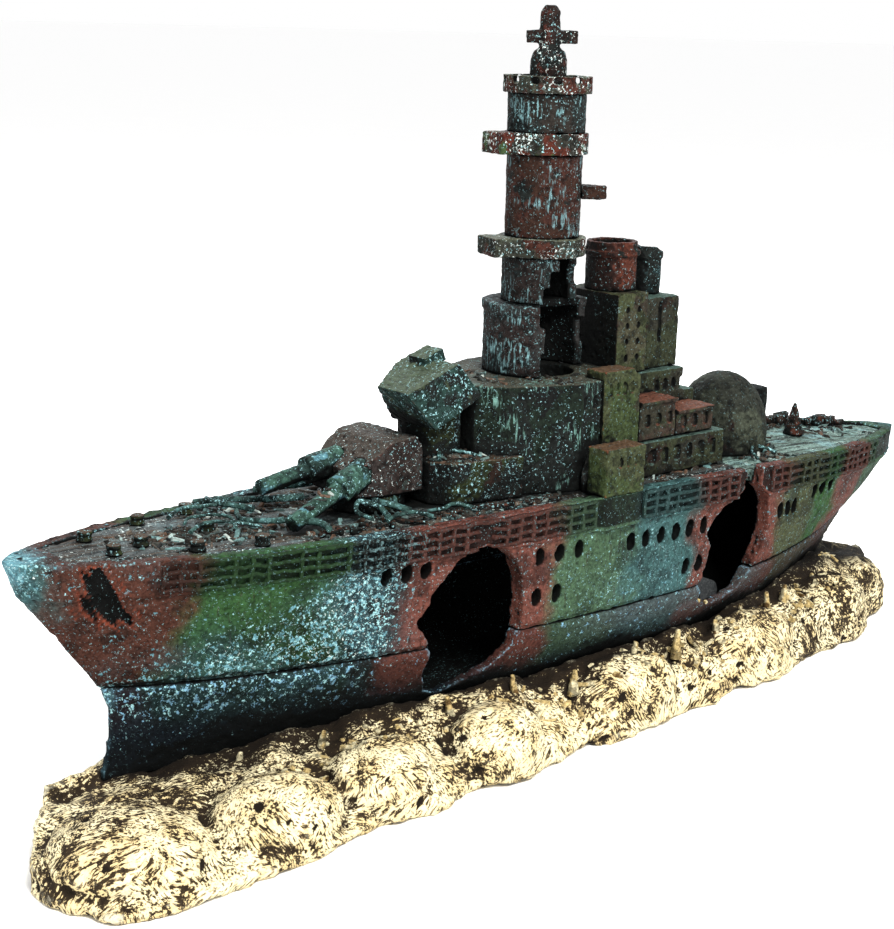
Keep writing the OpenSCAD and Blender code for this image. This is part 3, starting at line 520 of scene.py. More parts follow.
class Nodes:
    """Small helper for Geometry Nodes trees."""

    def __init__(self, name, sizes):
        self.group = bpy.data.node_groups.new(name, "GeometryNodeTree")
        self.group.interface.new_socket("Geometry", in_out="INPUT", socket_type="NodeSocketGeometry")
        self.group.interface.new_socket("Geometry", in_out="OUTPUT", socket_type="NodeSocketGeometry")
        for key, kind in sizes.items():
            self.group.interface.new_socket(key, in_out="INPUT", socket_type="NodeSocket" + kind)
        self.entry = self.group.nodes.new("NodeGroupInput")
        self.exit = self.group.nodes.new("NodeGroupOutput")

    def node(self, kind, settings, values, output=0):
        made = self.group.nodes.new(kind)
        for key, value in settings.items():
            setattr(made, key, value)
        for key, value in values.items():
            if isinstance(value, bpy.types.NodeSocket):
                self.group.links.new(value, made.inputs[key])
            else:
                made.inputs[key].default_value = value
        return made.outputs[output]

    def given(self, key):
        return self.entry.outputs[key]

    def math(self, operation, *values):
        return self.node("ShaderNodeMath", {"operation": operation}, dict(enumerate(values)))

    def vector(self, operation, *values, output=0):
        return self.node("ShaderNodeVectorMath", {"operation": operation}, dict(enumerate(values)), output)

    def finish(self, geometry):
        self.group.links.new(geometry, self.exit.inputs[0])
        return self.group


def set_inputs(piece, group, values):
    modifier = piece.modifiers.new(group.name, "NODES")
    modifier.node_group = group
    for item in group.interface.items_tree:
        if item.item_type == "SOCKET" and item.in_out == "INPUT" and item.name in values:
            modifier[item.identifier] = values[item.name]
    return modifier


def weathering_tree():
    """Roughens a remeshed casting, then stores edge wear and open sky on its points."""
    nodes = Nodes("weathering", {
        "Lump Size": "Float", "Lump Depth": "Float", "Chip Size": "Float", "Chip Depth": "Float",
        "Grain Size": "Float", "Grain Depth": "Float", "Wear Reach": "Int", "Wear Gain": "Float",
        "Shade Reach": "Float", "Surroundings": "Object", "Paint": "Material"})
    position = nodes.node("GeometryNodeInputPosition", {}, {})
    normal = nodes.node("GeometryNodeInputNormal", {}, {})

    def rough(size, depth, detail):
        scale = nodes.math("DIVIDE", 1.0, nodes.given(size))
        value = nodes.node("ShaderNodeTexNoise", {}, {"Vector": position, "Scale": scale, "Detail": detail, "Roughness": 0.6})
        return nodes.math("MULTIPLY", nodes.math("SUBTRACT", value, 0.5), nodes.given(depth))

    push = nodes.math("ADD", rough("Lump Size", "Lump Depth", 2.0), rough("Grain Size", "Grain Depth", 4.0))
    scale = nodes.math("DIVIDE", 1.0, nodes.given("Chip Size"))
    cell = nodes.node("ShaderNodeTexVoronoi", {"feature": "SMOOTH_F1"}, {"Vector": position, "Scale": scale, "Smoothness": 0.3})
    chip = nodes.math("MULTIPLY", nodes.math("MAXIMUM", nodes.math("SUBTRACT", 0.42, cell), 0.0), nodes.given("Chip Depth"))
    push = nodes.math("SUBTRACT", push, chip)
    moved = nodes.node("GeometryNodeSetPosition", {}, {
        "Geometry": nodes.given("Geometry"), "Offset": nodes.vector("SCALE", normal, output=0)})
    scaler = moved.node.inputs["Offset"].links[0].from_node
    nodes.group.links.new(push, scaler.inputs["Scale"])

    # how far each point stands out of its smoothed surroundings
    smooth = nodes.node("GeometryNodeBlurAttribute", {"data_type": "FLOAT_VECTOR"}, {
        "Value": position, "Iterations": nodes.given("Wear Reach")})
    stand = nodes.vector("DOT_PRODUCT", nodes.vector("SUBTRACT", position, smooth), normal, output=1)
    edge = nodes.math("MULTIPLY", stand, nodes.given("Wear Gain"))
    stored = nodes.node("GeometryNodeStoreNamedAttribute", {"data_type": "FLOAT", "domain": "POINT"}, {
        "Geometry": moved, "Name": "edge", "Value": edge})

    facing = nodes.node("ShaderNodeSeparateXYZ", {}, {0: normal}, 2)
    bow_facing = nodes.math("MULTIPLY", nodes.node("ShaderNodeSeparateXYZ", {}, {0: normal}, 0), -1.0)
    for name, value in (("top", facing), ("front", bow_facing)):
        stored = nodes.node("GeometryNodeStoreNamedAttribute", {"data_type": "FLOAT", "domain": "POINT"}, {
            "Geometry": stored, "Name": name, "Value": value})

    # share of directions in which nothing is close
    around = nodes.node("GeometryNodeObjectInfo", {"transform_space": "RELATIVE"}, {"Object": nodes.given("Surroundings")}, "Geometry")
    start = nodes.vector("ADD", position, nodes.vector("MULTIPLY", normal, (0.0009, 0.0009, 0.0009)))
    hits = 0.0
    rays = 14
    for k in range(rays):
        lift = 1 - 2 * (k + 0.5) / rays
        turn = k * math.pi * (3 - math.sqrt(5))
        ring = math.sqrt(1 - lift * lift)
        spot = (ring * math.cos(turn) * 0.97, ring * math.sin(turn) * 0.97, lift * 0.97)
        ray = nodes.vector("ADD", normal, spot)
        hit = nodes.node("GeometryNodeRaycast", {"data_type": "FLOAT"}, {
            "Target Geometry": around, "Source Position": start, "Ray Direction": ray, "Ray Length": nodes.given("Shade Reach")}, "Is Hit")
        hits = nodes.math("ADD", hits, hit)
    clear = nodes.math("SUBTRACT", 1.0, nodes.math("DIVIDE", hits, float(rays)))
    stored = nodes.node("GeometryNodeStoreNamedAttribute", {"data_type": "FLOAT", "domain": "POINT"}, {
        "Geometry": stored, "Name": "open", "Value": clear})
    painted = nodes.node("GeometryNodeSetMaterial", {}, {"Geometry": stored, "Material": nodes.given("Paint")})
    shaded = nodes.node("GeometryNodeSetShadeSmooth", {}, {"Geometry": painted, "Shade Smooth": True})
    return nodes.finish(shaded)


WEATHERING = weathering_tree()


def surroundings():
    """All CAD solids as one hidden mesh, which the open-sky rays are cast against."""
    everything = merged_copy("surroundings", *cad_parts)
    everything.hide_render = True
    everything.hide_viewport = False
    return everything


AROUND = surroundings()


def casting(name, nodes, material, voxel, lump=0.35, chip=0.0, grain=0.16, lump_size=4.0, chip_size=3.0,
            grain_size=1.1, reach=5, gain=9.0, shade=14.0):
    """A weathered casting that stands for CAD nodes. Sizes are in millimetres."""
    piece = merged_copy(name, *nodes)
    remesh = piece.modifiers.new("remesh", "REMESH")
    remesh.mode = "VOXEL"
    remesh.voxel_size = voxel * MM * 1.0
    remesh.use_smooth_shade = True
    bake_modifiers(piece)
    set_inputs(piece, WEATHERING, {
        "Lump Size": lump_size * MM, "Lump Depth": lump * MM, "Chip Size": chip_size * MM, "Chip Depth": chip * MM,
        "Grain Size": grain_size * MM, "Grain Depth": grain * MM, "Wear Reach": reach, "Wear Gain": gain * 100,
        "Shade Reach": shade * MM, "Surroundings": AROUND, "Paint": material})
    bake_modifiers(piece)
    return piece


def stand_for(piece, body, *nodes):
    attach(piece, body)
    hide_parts(*nodes)


# ---------------------------------------------------------------- castings


RIM_BAND = 7.6      # depth of the railed band below the rim, mm
RAIL_ROWS = 4
RAIL_PITCH = 2.05
RAIL_START = -114   # row frame, mm
GOUGE_LINE = [(-127, 58.5, 1.6), (-126, 54.5, 2.6), (-125, 51, 3.4), (-122.5, 48, 2.6), (-119, 46, 1.5)]   # x, z, half width


def near_gouge(x, z):
    """1 in the middle of the bow gouge, 0 outside its torn lip. Takes millimetres."""
    wobble = 0.8 * math.sin(x * 2.1 + z * 1.3) + 0.5 * math.sin(x * 4.7 - z * 3.1)
    best = 0.0
    for (x0, z0, r0), (x1, z1, r1) in zip(GOUGE_LINE, GOUGE_LINE[1:]):
        ax, az = x1 - x0, z1 - z0
        t = min(max(((x - x0) * ax + (z - z0) * az) / (ax * ax + az * az), 0), 1)
        away = math.hypot(x - x0 - t * ax, z - z0 - t * az) + wobble
        best = max(best, 1.5 - away / (r0 + t * (r1 - r0)))
    return min(max(best, 0.0), 1.0)


def shape_hull_skin(piece):
    """Stores depth below the rim, the railed band, the gouge and a mask of inward faces for painted shade, and presses
    the gouge in.
    """
    mesh = piece.data
    slices = {}
    for v in mesh.vertices:
        key = round(v.co.x / MM / 2)
        slices[key] = max(slices.get(key, 0), v.co.z)
    normals = [normal.vector.copy() for normal in mesh.vertex_normals]
    places = [v.co.copy() for v in mesh.vertices]
    below, banded, gouged, inside, moved = [], [], [], [], []
    for place, normal in zip(places, normals):
        x, z = place.x / MM, place.z / MM
        outward = normal.y * (1 if place.y > 0 else -1)
        outside = outward > 0.3
        bottom = normal.z > 0.5 and z < 17 and abs(place.y) < 0.016
        # inward faces and the floor inside the hull are marked for painted shade
        inside.append(1.0 if outward < -0.15 or bottom else 0.0)
        drop = slices[round(x / 2)] / MM - z if outside else 99.0
        dent = near_gouge(x, z) if outside and place.y < 0 and x < -95 else 0.0
        below.append(drop)
        banded.append(min(max((x - RAIL_START + 4) / 30, 0), 1))
        gouged.append(dent)
        inward = 0.35 if -0.5 < drop < RIM_BAND and x > RAIL_START and z > 45 else 0.0
        moved.extend(place - normal * (inward + 2.0 * max(dent - 0.35, 0)) * MM)
    mesh.vertices.foreach_set("co", moved)
    for name, values in (("below_rim", below), ("banded", banded), ("gouge", gouged), ("inside", inside)):
        mesh.attributes.new(name, "FLOAT", "POINT").data.foreach_set("value", values)


def make_hull():
    paint = hull_paint("hull_paint")
    for node, voxel in (("forward_hull", 0.5), ("stern_hull", 0.45)):
        piece = casting(node + "_cast", [node], paint, voxel, lump=0.5, chip=1.1, grain=0.22, lump_size=6, reach=6, shade=42)
        shape_hull_skin(piece)
        stand_for(piece, "ornament", node)
    piece = casting("lower_hull_cast", ["lower_hull"], lower_hull_paint("lower_hull_paint"), 0.68, lump=0.5, chip=0.7,
                    grain=0.25, shade=42)
    shape_hull_skin(piece)
    stand_for(piece, "ornament", "lower_hull")


# ---------------------------------------------------------------- rails


def rail_tree():
    """Rows of rail and posts along each rim line. The line's "down" says where its foot lies."""
    nodes = Nodes("rim_rails", {
        "Rows": "Int", "Rail Size": "Float", "Post Spacing": "Float", "Post Width": "Float", "Bend": "Float",
        "Seed": "Int", "Paint": "Material"})
    line = nodes.node("GeometryNodeMeshToCurve", {}, {"Mesh": nodes.given("Geometry")})
    down = nodes.node("GeometryNodeInputNamedAttribute", {"data_type": "FLOAT_VECTOR"}, {"Name": "down"}, "Attribute")
    profile = nodes.node("GeometryNodeCurvePrimitiveQuadrilateral", {}, {
        "Width": nodes.given("Rail Size"), "Height": nodes.given("Rail Size")})
    join = nodes.group.nodes.new("GeometryNodeJoinGeometry")
    for k in range(RAIL_ROWS):
        place = nodes.vector("SCALE", down, output=0)
        place.node.inputs["Scale"].default_value = k / (RAIL_ROWS - 1)
        row = nodes.node("GeometryNodeSetPosition", {}, {"Geometry": line, "Offset": place})
        tube = nodes.node("GeometryNodeCurveToMesh", {}, {"Curve": row, "Profile Curve": profile, "Fill Caps": True})
        nodes.group.links.new(tube, join.inputs[0])
    spots = nodes.node("GeometryNodeResampleCurve", {"mode": "LENGTH"}, {"Curve": line, "Length": nodes.given("Post Spacing")})
    post = nodes.node("GeometryNodeMeshCube", {}, {"Size": (1, 1, 1), "Vertices X": 2, "Vertices Y": 2, "Vertices Z": 6})
    post = nodes.node("GeometryNodeTransform", {}, {"Geometry": post, "Translation": (0, 0, 0.5)})
    turn = nodes.node("FunctionNodeAlignRotationToVector", {"axis": "Z"}, {"Vector": down})
    length = nodes.vector("LENGTH", down, output=1)
    size = nodes.node("ShaderNodeCombineXYZ", {}, {
        0: nodes.given("Post Width"), 1: nodes.given("Rail Size"), 2: nodes.math("MULTIPLY", length, 1.04)})
    keep = nodes.node("FunctionNodeRandomValue", {"data_type": "BOOLEAN"}, {"Probability": 0.8, "Seed": nodes.given("Seed")}, 3)
    posts = nodes.node("GeometryNodeInstanceOnPoints", {}, {
        "Points": spots, "Instance": post, "Rotation": turn, "Scale": size, "Selection": keep})
    nodes.group.links.new(nodes.node("GeometryNodeRealizeInstances", {}, {"Geometry": posts}), join.inputs[0])
    position = nodes.node("GeometryNodeInputPosition", {}, {})
    wave = nodes.node("ShaderNodeTexNoise", {}, {"Vector": position, "Scale": 1 / (2.2 * MM), "Detail": 2.0}, "Color")
    wave = nodes.vector("SUBTRACT", wave, (0.5, 0.5, 0.5))
    wave = nodes.vector("SCALE", wave, output=0)
    nodes.group.links.new(nodes.given("Bend"), wave.node.inputs["Scale"])
    bent = nodes.node("GeometryNodeSetPosition", {}, {"Geometry": join.outputs[0], "Offset": wave})
    whole = nodes.node("GeometryNodeRealizeInstances", {}, {"Geometry": bent})
    return nodes.finish(nodes.node("GeometryNodeSetMaterial", {}, {"Geometry": whole, "Material": nodes.given("Paint")}))


def rim_line(skin, side, x_from, x_to, gaps):
    """Points along the rim on one side, each with the vector down to the band's foot."""
    lines, line = [], []
    x = x_from
    while x <= x_to:
        rim = None
        for step in range(60):
            y = side * (32 - 0.5 * step) * MM
            hit = skin.ray_cast(Vector((x * MM, y, 0.1)), Vector((0, 0, -1)))[0]
            if hit and hit.z > 0.050:
                rim = hit.z / MM
                break
        spots = []
        if rim and not any(low < x < high for low, high in gaps):
            for depth in (0.55, 0.55 + RAIL_PITCH * (RAIL_ROWS - 1)):
                start = Vector((x * MM, side * 0.06, (rim - depth) * MM))
                hit = skin.ray_cast(start, Vector((0, -side, 0)))[0]
                if hit and abs(hit.y) > 0.003:
                    spots.append(hit + Vector((0, side * 0.05 * MM, 0)))
        if len(spots) == 2:
            line.append((spots[0], spots[1] - spots[0]))
        elif line:
            lines.append(line)
            line = []
        x += 1.5
    if line:
        lines.append(line)
    return [run for run in lines if len(run) > 3]


def make_rails():
    paint = rail_paint("rail_paint")
    tree = rail_tree()
    low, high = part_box("port_sponson")
    gap = [(low.x / MM - 0.6, high.x / MM + 0.6)]
    for name, node, start, stop in (("forward_rails", "forward_hull", RAIL_START, 64), ("stern_rails", "stern_hull", 60, 122)):
        skin = skin_of(node)
        points, downs, edges = [], [], []
        for side in (-1, 1):
            for run in rim_line(skin, side, start, stop, gap):
                first = len(points)
                points += [spot for spot, _ in run]
                downs += [down for _, down in run]
                edges += [(first + k, first + k + 1) for k in range(len(run) - 1)]
        mesh = bpy.data.meshes.new(name)
        mesh.from_pydata(points, edges, [])
        down = mesh.attributes.new("down", "FLOAT_VECTOR", "POINT")
        down.data.foreach_set("vector", [c for vector in downs for c in vector])
        piece = link(name, mesh)
        set_inputs(piece, tree, {
            "Rail Size": 0.72 * MM, "Post Spacing": 3.7 * MM, "Post Width": 0.85 * MM, "Bend": 1.3 * MM, "Seed": 4, "Paint": paint})
        bake_modifiers(piece)
        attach(piece, "ornament")


# ---------------------------------------------------------------- litter, pipes and boulders on the decks


def litter_tree():
    """Drops shards from a patch onto whatever lies below it."""
    nodes = Nodes("litter", {
        "Per Square Metre": "Float", "Shard Length": "Float", "Shard Width": "Float", "Seed": "Int",
        "Ground": "Object", "Paint": "Material"})
    amount = nodes.node("GeometryNodeInputNamedAttribute", {"data_type": "FLOAT"}, {"Name": "amount"}, "Attribute")
    spread = nodes.node("GeometryNodeDistributePointsOnFaces", {"distribute_method": "RANDOM"}, {
        "Mesh": nodes.given("Geometry"), "Density": nodes.math("MULTIPLY", nodes.given("Per Square Metre"), amount),
        "Seed": nodes.given("Seed")})
    ground = nodes.node("GeometryNodeObjectInfo", {"transform_space": "RELATIVE"}, {"Object": nodes.given("Ground")}, "Geometry")
    ray = nodes.node("GeometryNodeRaycast", {"data_type": "FLOAT"}, {
        "Target Geometry": ground, "Ray Direction": (0, 0, -1), "Ray Length": 0.03}, "Hit Position").node
    flat = nodes.math("GREATER_THAN", nodes.node("ShaderNodeSeparateXYZ", {}, {0: ray.outputs["Hit Normal"]}, 2), 0.55)
    missed = nodes.math("LESS_THAN", nodes.math("MULTIPLY", ray.outputs["Is Hit"], flat), 0.5)
    dropped = nodes.node("GeometryNodeSetPosition", {}, {"Geometry": spread, "Position": ray.outputs["Hit Position"]})
    # the test on the ground is stored first, because moving the points changes what the rays start from
    marked = nodes.node("GeometryNodeStoreNamedAttribute", {"data_type": "BOOLEAN", "domain": "POINT"}, {
        "Geometry": spread, "Name": "missed", "Value": missed})
    nodes.group.links.new(marked, dropped.node.inputs["Geometry"])
    gone = nodes.node("GeometryNodeInputNamedAttribute", {"data_type": "BOOLEAN"}, {"Name": "missed"}, "Attribute")
    kept = nodes.node("GeometryNodeDeleteGeometry", {"domain": "POINT"}, {"Geometry": dropped, "Selection": gone})
    shard = nodes.node("GeometryNodeMeshIcoSphere", {}, {"Radius": 0.5, "Subdivisions": 1})
    bar = nodes.node("GeometryNodeMeshCylinder", {"fill_type": "TRIANGLE_FAN"}, {"Vertices": 5, "Radius": 0.4, "Depth": 1.0, "Side Segments": 2})
    kinds = nodes.node("GeometryNodeGeometryToInstance", {}, {"Geometry": shard})
    nodes.group.links.new(bar, kinds.node.inputs["Geometry"])
    spin = nodes.node("FunctionNodeRandomValue", {"data_type": "FLOAT_VECTOR"}, {
        "Min": (-0.35, 1.15, 0.0), "Max": (0.35, 1.95, 6.28), "Seed": nodes.given("Seed")}, 0)
    long = nodes.node("FunctionNodeRandomValue", {"data_type": "FLOAT"}, {2: 0.35, 3: 1.3, "Seed": nodes.given("Seed")}, 1)
    wide = nodes.node("FunctionNodeRandomValue", {"data_type": "FLOAT"}, {2: 0.5, 3: 1.4, "ID": 7, "Seed": nodes.given("Seed")}, 1)
    index = nodes.node("GeometryNodeInputIndex", {}, {})
    nodes.group.links.new(nodes.math("ADD", index, 7000.0), wide.node.inputs["ID"])
    size = nodes.node("ShaderNodeCombineXYZ", {}, {
        0: nodes.math("MULTIPLY", wide, nodes.given("Shard Width")), 1: nodes.math("MULTIPLY", wide, nodes.given("Shard Width")),
        2: nodes.math("MULTIPLY", long, nodes.given("Shard Length"))})
    shards = nodes.node("GeometryNodeInstanceOnPoints", {}, {
        "Points": kept, "Instance": kinds, "Pick Instance": True, "Rotation": spin, "Scale": size})
    tone = nodes.node("FunctionNodeRandomValue", {"data_type": "FLOAT"}, {2: 0.0, 3: 1.0, "Seed": 31}, 1)
    toned = nodes.node("GeometryNodeStoreNamedAttribute", {"data_type": "FLOAT", "domain": "INSTANCE"}, {
        "Geometry": shards, "Name": "tone", "Value": tone})
    whole = nodes.node("GeometryNodeRealizeInstances", {}, {"Geometry": toned})
    position = nodes.node("GeometryNodeInputPosition", {}, {})
    wave = nodes.node("ShaderNodeTexNoise", {}, {"Vector": position, "Scale": 1 / (1.6 * MM), "Detail": 2.0}, "Color")
    wave = nodes.vector("SCALE", nodes.vector("SUBTRACT", wave, (0.5, 0.5, 0.5)), output=0)
    wave.node.inputs["Scale"].default_value = 1.1 * MM
    bent = nodes.node("GeometryNodeSetPosition", {}, {"Geometry": whole, "Offset": wave})
    for name in ("edge", "open"):
        bent = nodes.node("GeometryNodeStoreNamedAttribute", {"data_type": "FLOAT", "domain": "POINT"}, {
            "Geometry": bent, "Name": name, "Value": 0.06 if name == "edge" else 1.0})
    return nodes.finish(nodes.node("GeometryNodeSetMaterial", {}, {"Geometry": bent, "Material": nodes.given("Paint")}))


# centre x, y, height the shards drop from, half length, half width, amount. Row frame, millimetres
DECK_HEAPS = [
    (-94, -3, 66, 17, 9, 1.7), (-84, 12, 66, 9, 6, 1.0), (-108, 2, 66, 10, 8, 0.45), (-66, -14, 66, 13, 6, 1.1),
    (-54, -10, 66, 7, 6, 1.8), (-40, -20, 66, 12, 4, 1.6), (-22, -21, 66, 16, 3, 1.5), (-68, 8, 66, 10, 9, 0.8),
    (-31, -6, 73, 7, 8, 1.8), (-29, 6, 73, 7, 8, 1.0), (-5, -13, 92, 10, 5, 0.6), (-18, -2, 92, 4, 9, 0.9),
    (30, -20, 66, 18, 4, 0.5), (46, -14, 66, 10, 8, 0.9), (72, -14, 66, 8, 8, 1.2), (84, 4, 66, 8, 12, 0.5),
    (104, 12, 66, 24, 4, 1.6), (118, 0, 66, 18, 8, 0.3), (-4, 22, 66, 30, 3, 0.6), (-60, 12, 66, 16, 6, 0.5)
]
# Stubs of shell at the foot of the hull
BANK_HEAPS = [
    (-70, -27, 27, 26, 7, 0.6), (-20, -31, 27, 26, 6, 0.7), (30, -30, 27, 26, 6, 0.9), (80, -24, 27, 24, 7, 0.9),
    (-40, 32, 27, 60, 5, 0.6), (50, 28, 28, 50, 5, 0.6), (112, -6, 25, 10, 8, 0.5)
]


def heap_patches(name, heaps):
    """Flat grids above each heap, with the amount of litter falling off from the middle."""
    points, faces, amounts = [], [], []
    steps = 6
    for cx, cy, z, half_x, half_y, amount in heaps:
        first = len(points)
        for i in range(steps + 1):
            for j in range(steps + 1):
                u, v = 2 * i / steps - 1, 2 * j / steps - 1
                points.append(Vector((cx + u * half_x, cy + v * half_y, z)) * MM)
                amounts.append(amount * max(0.0, 1 - 0.8 * (u * u + v * v)))
        for i in range(steps):
            for j in range(steps):
                a = first + i * (steps + 1) + j
                faces.append((a, a + steps + 1, a + steps + 2, a + 1))
    mesh = bpy.data.meshes.new(name)
    mesh.from_pydata(points, [], faces)
    mesh.attributes.new("amount", "FLOAT", "POINT").data.foreach_set("value", amounts)
    return link(name, mesh)


def make_litter():
    tree = litter_tree()
    ground = merged_copy("ground", *[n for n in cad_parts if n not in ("fore_wreckage", "bow_fittings", "coral_tufts")])
    piece = heap_patches("deck_litter", DECK_HEAPS)
    set_inputs(piece, tree, {
        "Per Square Metre": 430000.0, "Shard Length": 3.4 * MM, "Shard Width": 1.05 * MM, "Seed": 11, "Ground": ground,
        "Paint": litter_paint("litter_paint")})
    bake_modifiers(piece)
    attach(piece, "ornament")
    piece = heap_patches("bank_litter", BANK_HEAPS)
    set_inputs(piece, tree, {
        "Per Square Metre": 160000.0, "Shard Length": 3.6 * MM, "Shard Width": 1.3 * MM, "Seed": 23, "Ground": ground,
        "Paint": small_paint("coral")})
    bake_modifiers(piece)
    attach(piece, "ornament")
    bpy.data.objects.remove(ground)


def pipe_tree():
    nodes = Nodes("bent_pipes", {"Step": "Float", "Lumps": "Float", "Paint": "Material"})
    line = nodes.node("GeometryNodeMeshToCurve", {}, {"Mesh": nodes.given("Geometry")})
    smooth = nodes.node("GeometryNodeCurveSplineType", {"spline_type": "CATMULL_ROM"}, {"Curve": line})
    fine = nodes.node("GeometryNodeResampleCurve", {"mode": "LENGTH"}, {"Curve": smooth, "Length": nodes.given("Step")})
    size = nodes.node("GeometryNodeInputNamedAttribute", {"data_type": "FLOAT"}, {"Name": "thick"}, "Attribute")
    fine = nodes.node("GeometryNodeSetCurveRadius", {}, {"Curve": fine, "Radius": size})
    ring = nodes.node("GeometryNodeCurvePrimitiveCircle", {}, {"Resolution": 9, "Radius": 1.0})
    tube = nodes.node("GeometryNodeCurveToMesh", {}, {"Curve": fine, "Profile Curve": ring, "Fill Caps": True})
    if "Scale" in [socket.name for socket in tube.node.inputs]:
        nodes.group.links.new(size, tube.node.inputs["Scale"])
    position = nodes.node("GeometryNodeInputPosition", {}, {})
    wave = nodes.node("ShaderNodeTexNoise", {}, {"Vector": position, "Scale": 1 / (1.5 * MM), "Detail": 2.0}, "Color")
    wave = nodes.vector("SCALE", nodes.vector("SUBTRACT", wave, (0.5, 0.5, 0.5)), output=0)
    nodes.group.links.new(nodes.given("Lumps"), wave.node.inputs["Scale"])
    bent = nodes.node("GeometryNodeSetPosition", {}, {"Geometry": tube, "Offset": wave})
    for name, value in (("edge", 0.08), ("open", 1.0)):
        bent = nodes.node("GeometryNodeStoreNamedAttribute", {"data_type": "FLOAT", "domain": "POINT"}, {
            "Geometry": bent, "Name": name, "Value": value})
    shaded = nodes.node("GeometryNodeSetShadeSmooth", {}, {"Geometry": bent, "Shade Smooth": True})
    return nodes.finish(nodes.node("GeometryNodeSetMaterial", {}, {"Geometry": shaded, "Material": nodes.given("Paint")}))


# Bent pipes on the fore deck: radius, then x, y, z of each point. Row frame, millimetres
PIPES = [
    (1.0, [(-80, -10, 61.2), (-76, -11.5, 60.6), (-74, -14, 60.2), (-75, -18, 60)]),
    (0.7, [(-80, -10, 61), (-83, -6, 60.4), (-86, -1, 60.2), (-84, 4, 60.6)]),
    (0.8, [(-51, -16, 59.8), (-54, -13, 61), (-56, -9, 61.6), (-53, -6, 62.4), (-50, -8, 61.4), (-52, -12, 60.4)]),
    (0.7, [(-58, -17, 59.6), (-57, -12, 60.8), (-60, -9, 61.8), (-63, -12, 60.6), (-62, -16, 59.8)]),
    (0.55, [(-48, -20, 59), (-52, -19, 60.4), (-56, -18, 60.2), (-60, -19, 59.6)]),
    (1.0, [(-57, 9, 62.6), (-62, 11, 61.8), (-66, 15, 60.8), (-70, 18, 60.2)]),
    (0.9, [(-66, 4, 61), (-72, 6, 61), (-78, 10, 60.8), (-83, 14, 60.6), (-88, 15, 60.6)]),
    (0.8, [(-80, 3, 60.6), (-83, 7, 61), (-85, 11, 61), (-84, 16, 60.6)]),
    (0.45, [(-92, -8, 60.8), (-90, -3, 61.6), (-92, 2, 61.4), (-96, 4, 60.8), (-99, 1, 60.8)]),
    (0.45, [(-102, -6, 61), (-97, -4, 61.8), (-91, -6, 61.4), (-86, -9, 60.4)]),
    (0.5, [(-100, 6, 61), (-95, 9, 61.6), (-90, 8, 61.6), (-86, 9, 61)]),
    (0.5, [(-36, -20, 59), (-40, -18, 60.2), (-44, -19, 60), (-47, -17, 59.4)]),
    (0.5, [(-38, -10, 68.2), (-34, -6, 69.4), (-30, -8, 69), (-27, -12, 68.2)]),
    (0.45, [(76, -16, 56), (72, -12, 57.6), (68, -14, 57), (66, -18, 56)]),
]


def make_pipes():
    points, edges, sizes = [], [], []
    for radius, route in PIPES:
        first = len(points)
        points += [Vector(spot) * MM for spot in route]
        sizes += [radius * MM * (1 - 0.35 * k / len(route)) for k in range(len(route))]
        edges += [(first + k, first + k + 1) for k in range(len(route) - 1)]
    mesh = bpy.data.meshes.new("bent_pipes")
    mesh.from_pydata(points, edges, [])
    mesh.attributes.new("thick", "FLOAT", "POINT").data.foreach_set("value", sizes)
    piece = link("bent_pipes", mesh)
    set_inputs(piece, pipe_tree(), {"Step": 0.7 * MM, "Lumps": 0.5 * MM, "Paint": small_paint("pipe")})
    bake_modifiers(piece)
    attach(piece, "ornament")


# Two worn stones against the port sponson: x, y, foot z, radius, height, lean
STONES = [(-3.2, -18.2, 57.4, 2.3, 7.5, -14), (-1.2, -21.2, 57.4, 2.0, 10.0, 10)]


def make_stones():
    cells = bmesh.new()
    for x, y, z, radius, height, lean in STONES:
        made = bmesh.ops.create_icosphere(cells, subdivisions=4, radius=1.0)["verts"]
        turn = Matrix.Rotation(math.radians(lean), 3, "X")
        for v in made:
            ripple = 1 + 0.06 * math.sin(5 * v.co.x + 3 * v.co.z) + 0.04 * math.sin(7 * v.co.y - 4 * v.co.z)
            local = Vector((v.co.x * radius, v.co.y * radius, (v.co.z + 0.8) * height / 1.8)) * ripple
            v.co = (turn @ local + Vector((x, y, z))) * MM
    mesh = bpy.data.meshes.new("deck_stones")
    cells.to_mesh(mesh)
    cells.free()
    for face in mesh.polygons:
        face.use_smooth = True
    piece = link("deck_stones", mesh)
    set_inputs(piece, WEATHERING, {
        "Lump Size": 3 * MM, "Lump Depth": 0.4 * MM, "Chip Size": 2 * MM, "Chip Depth": 0.3 * MM, "Grain Size": 0.8 * MM,
        "Grain Depth": 0.15 * MM, "Wear Reach": 3, "Wear Gain": 800.0, "Shade Reach": 10 * MM, "Surroundings": AROUND,
        "Paint": small_paint("stone")})
    bake_modifiers(piece)
    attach(piece, "ornament")


def make_decks():
    fore = deck_paint("fore_deck_paint", DECK_GREY, DECK_BROWN, (0.12, 0.17, 0.18), 0.6)
    aft = deck_paint("after_deck_paint", (0.10, 0.15, 0.13), (0.17, 0.26, 0.23), ICE, 0.35)
    for node, paint, voxel in (("main_deck", fore, 0.6), ("stern_deck", aft, 0.5)):
        piece = casting(node + "_cast", [node], paint, voxel, lump=0.3, chip=0.5, grain=0.35, lump_size=3, shade=22)
        stand_for(piece, "ornament", node)


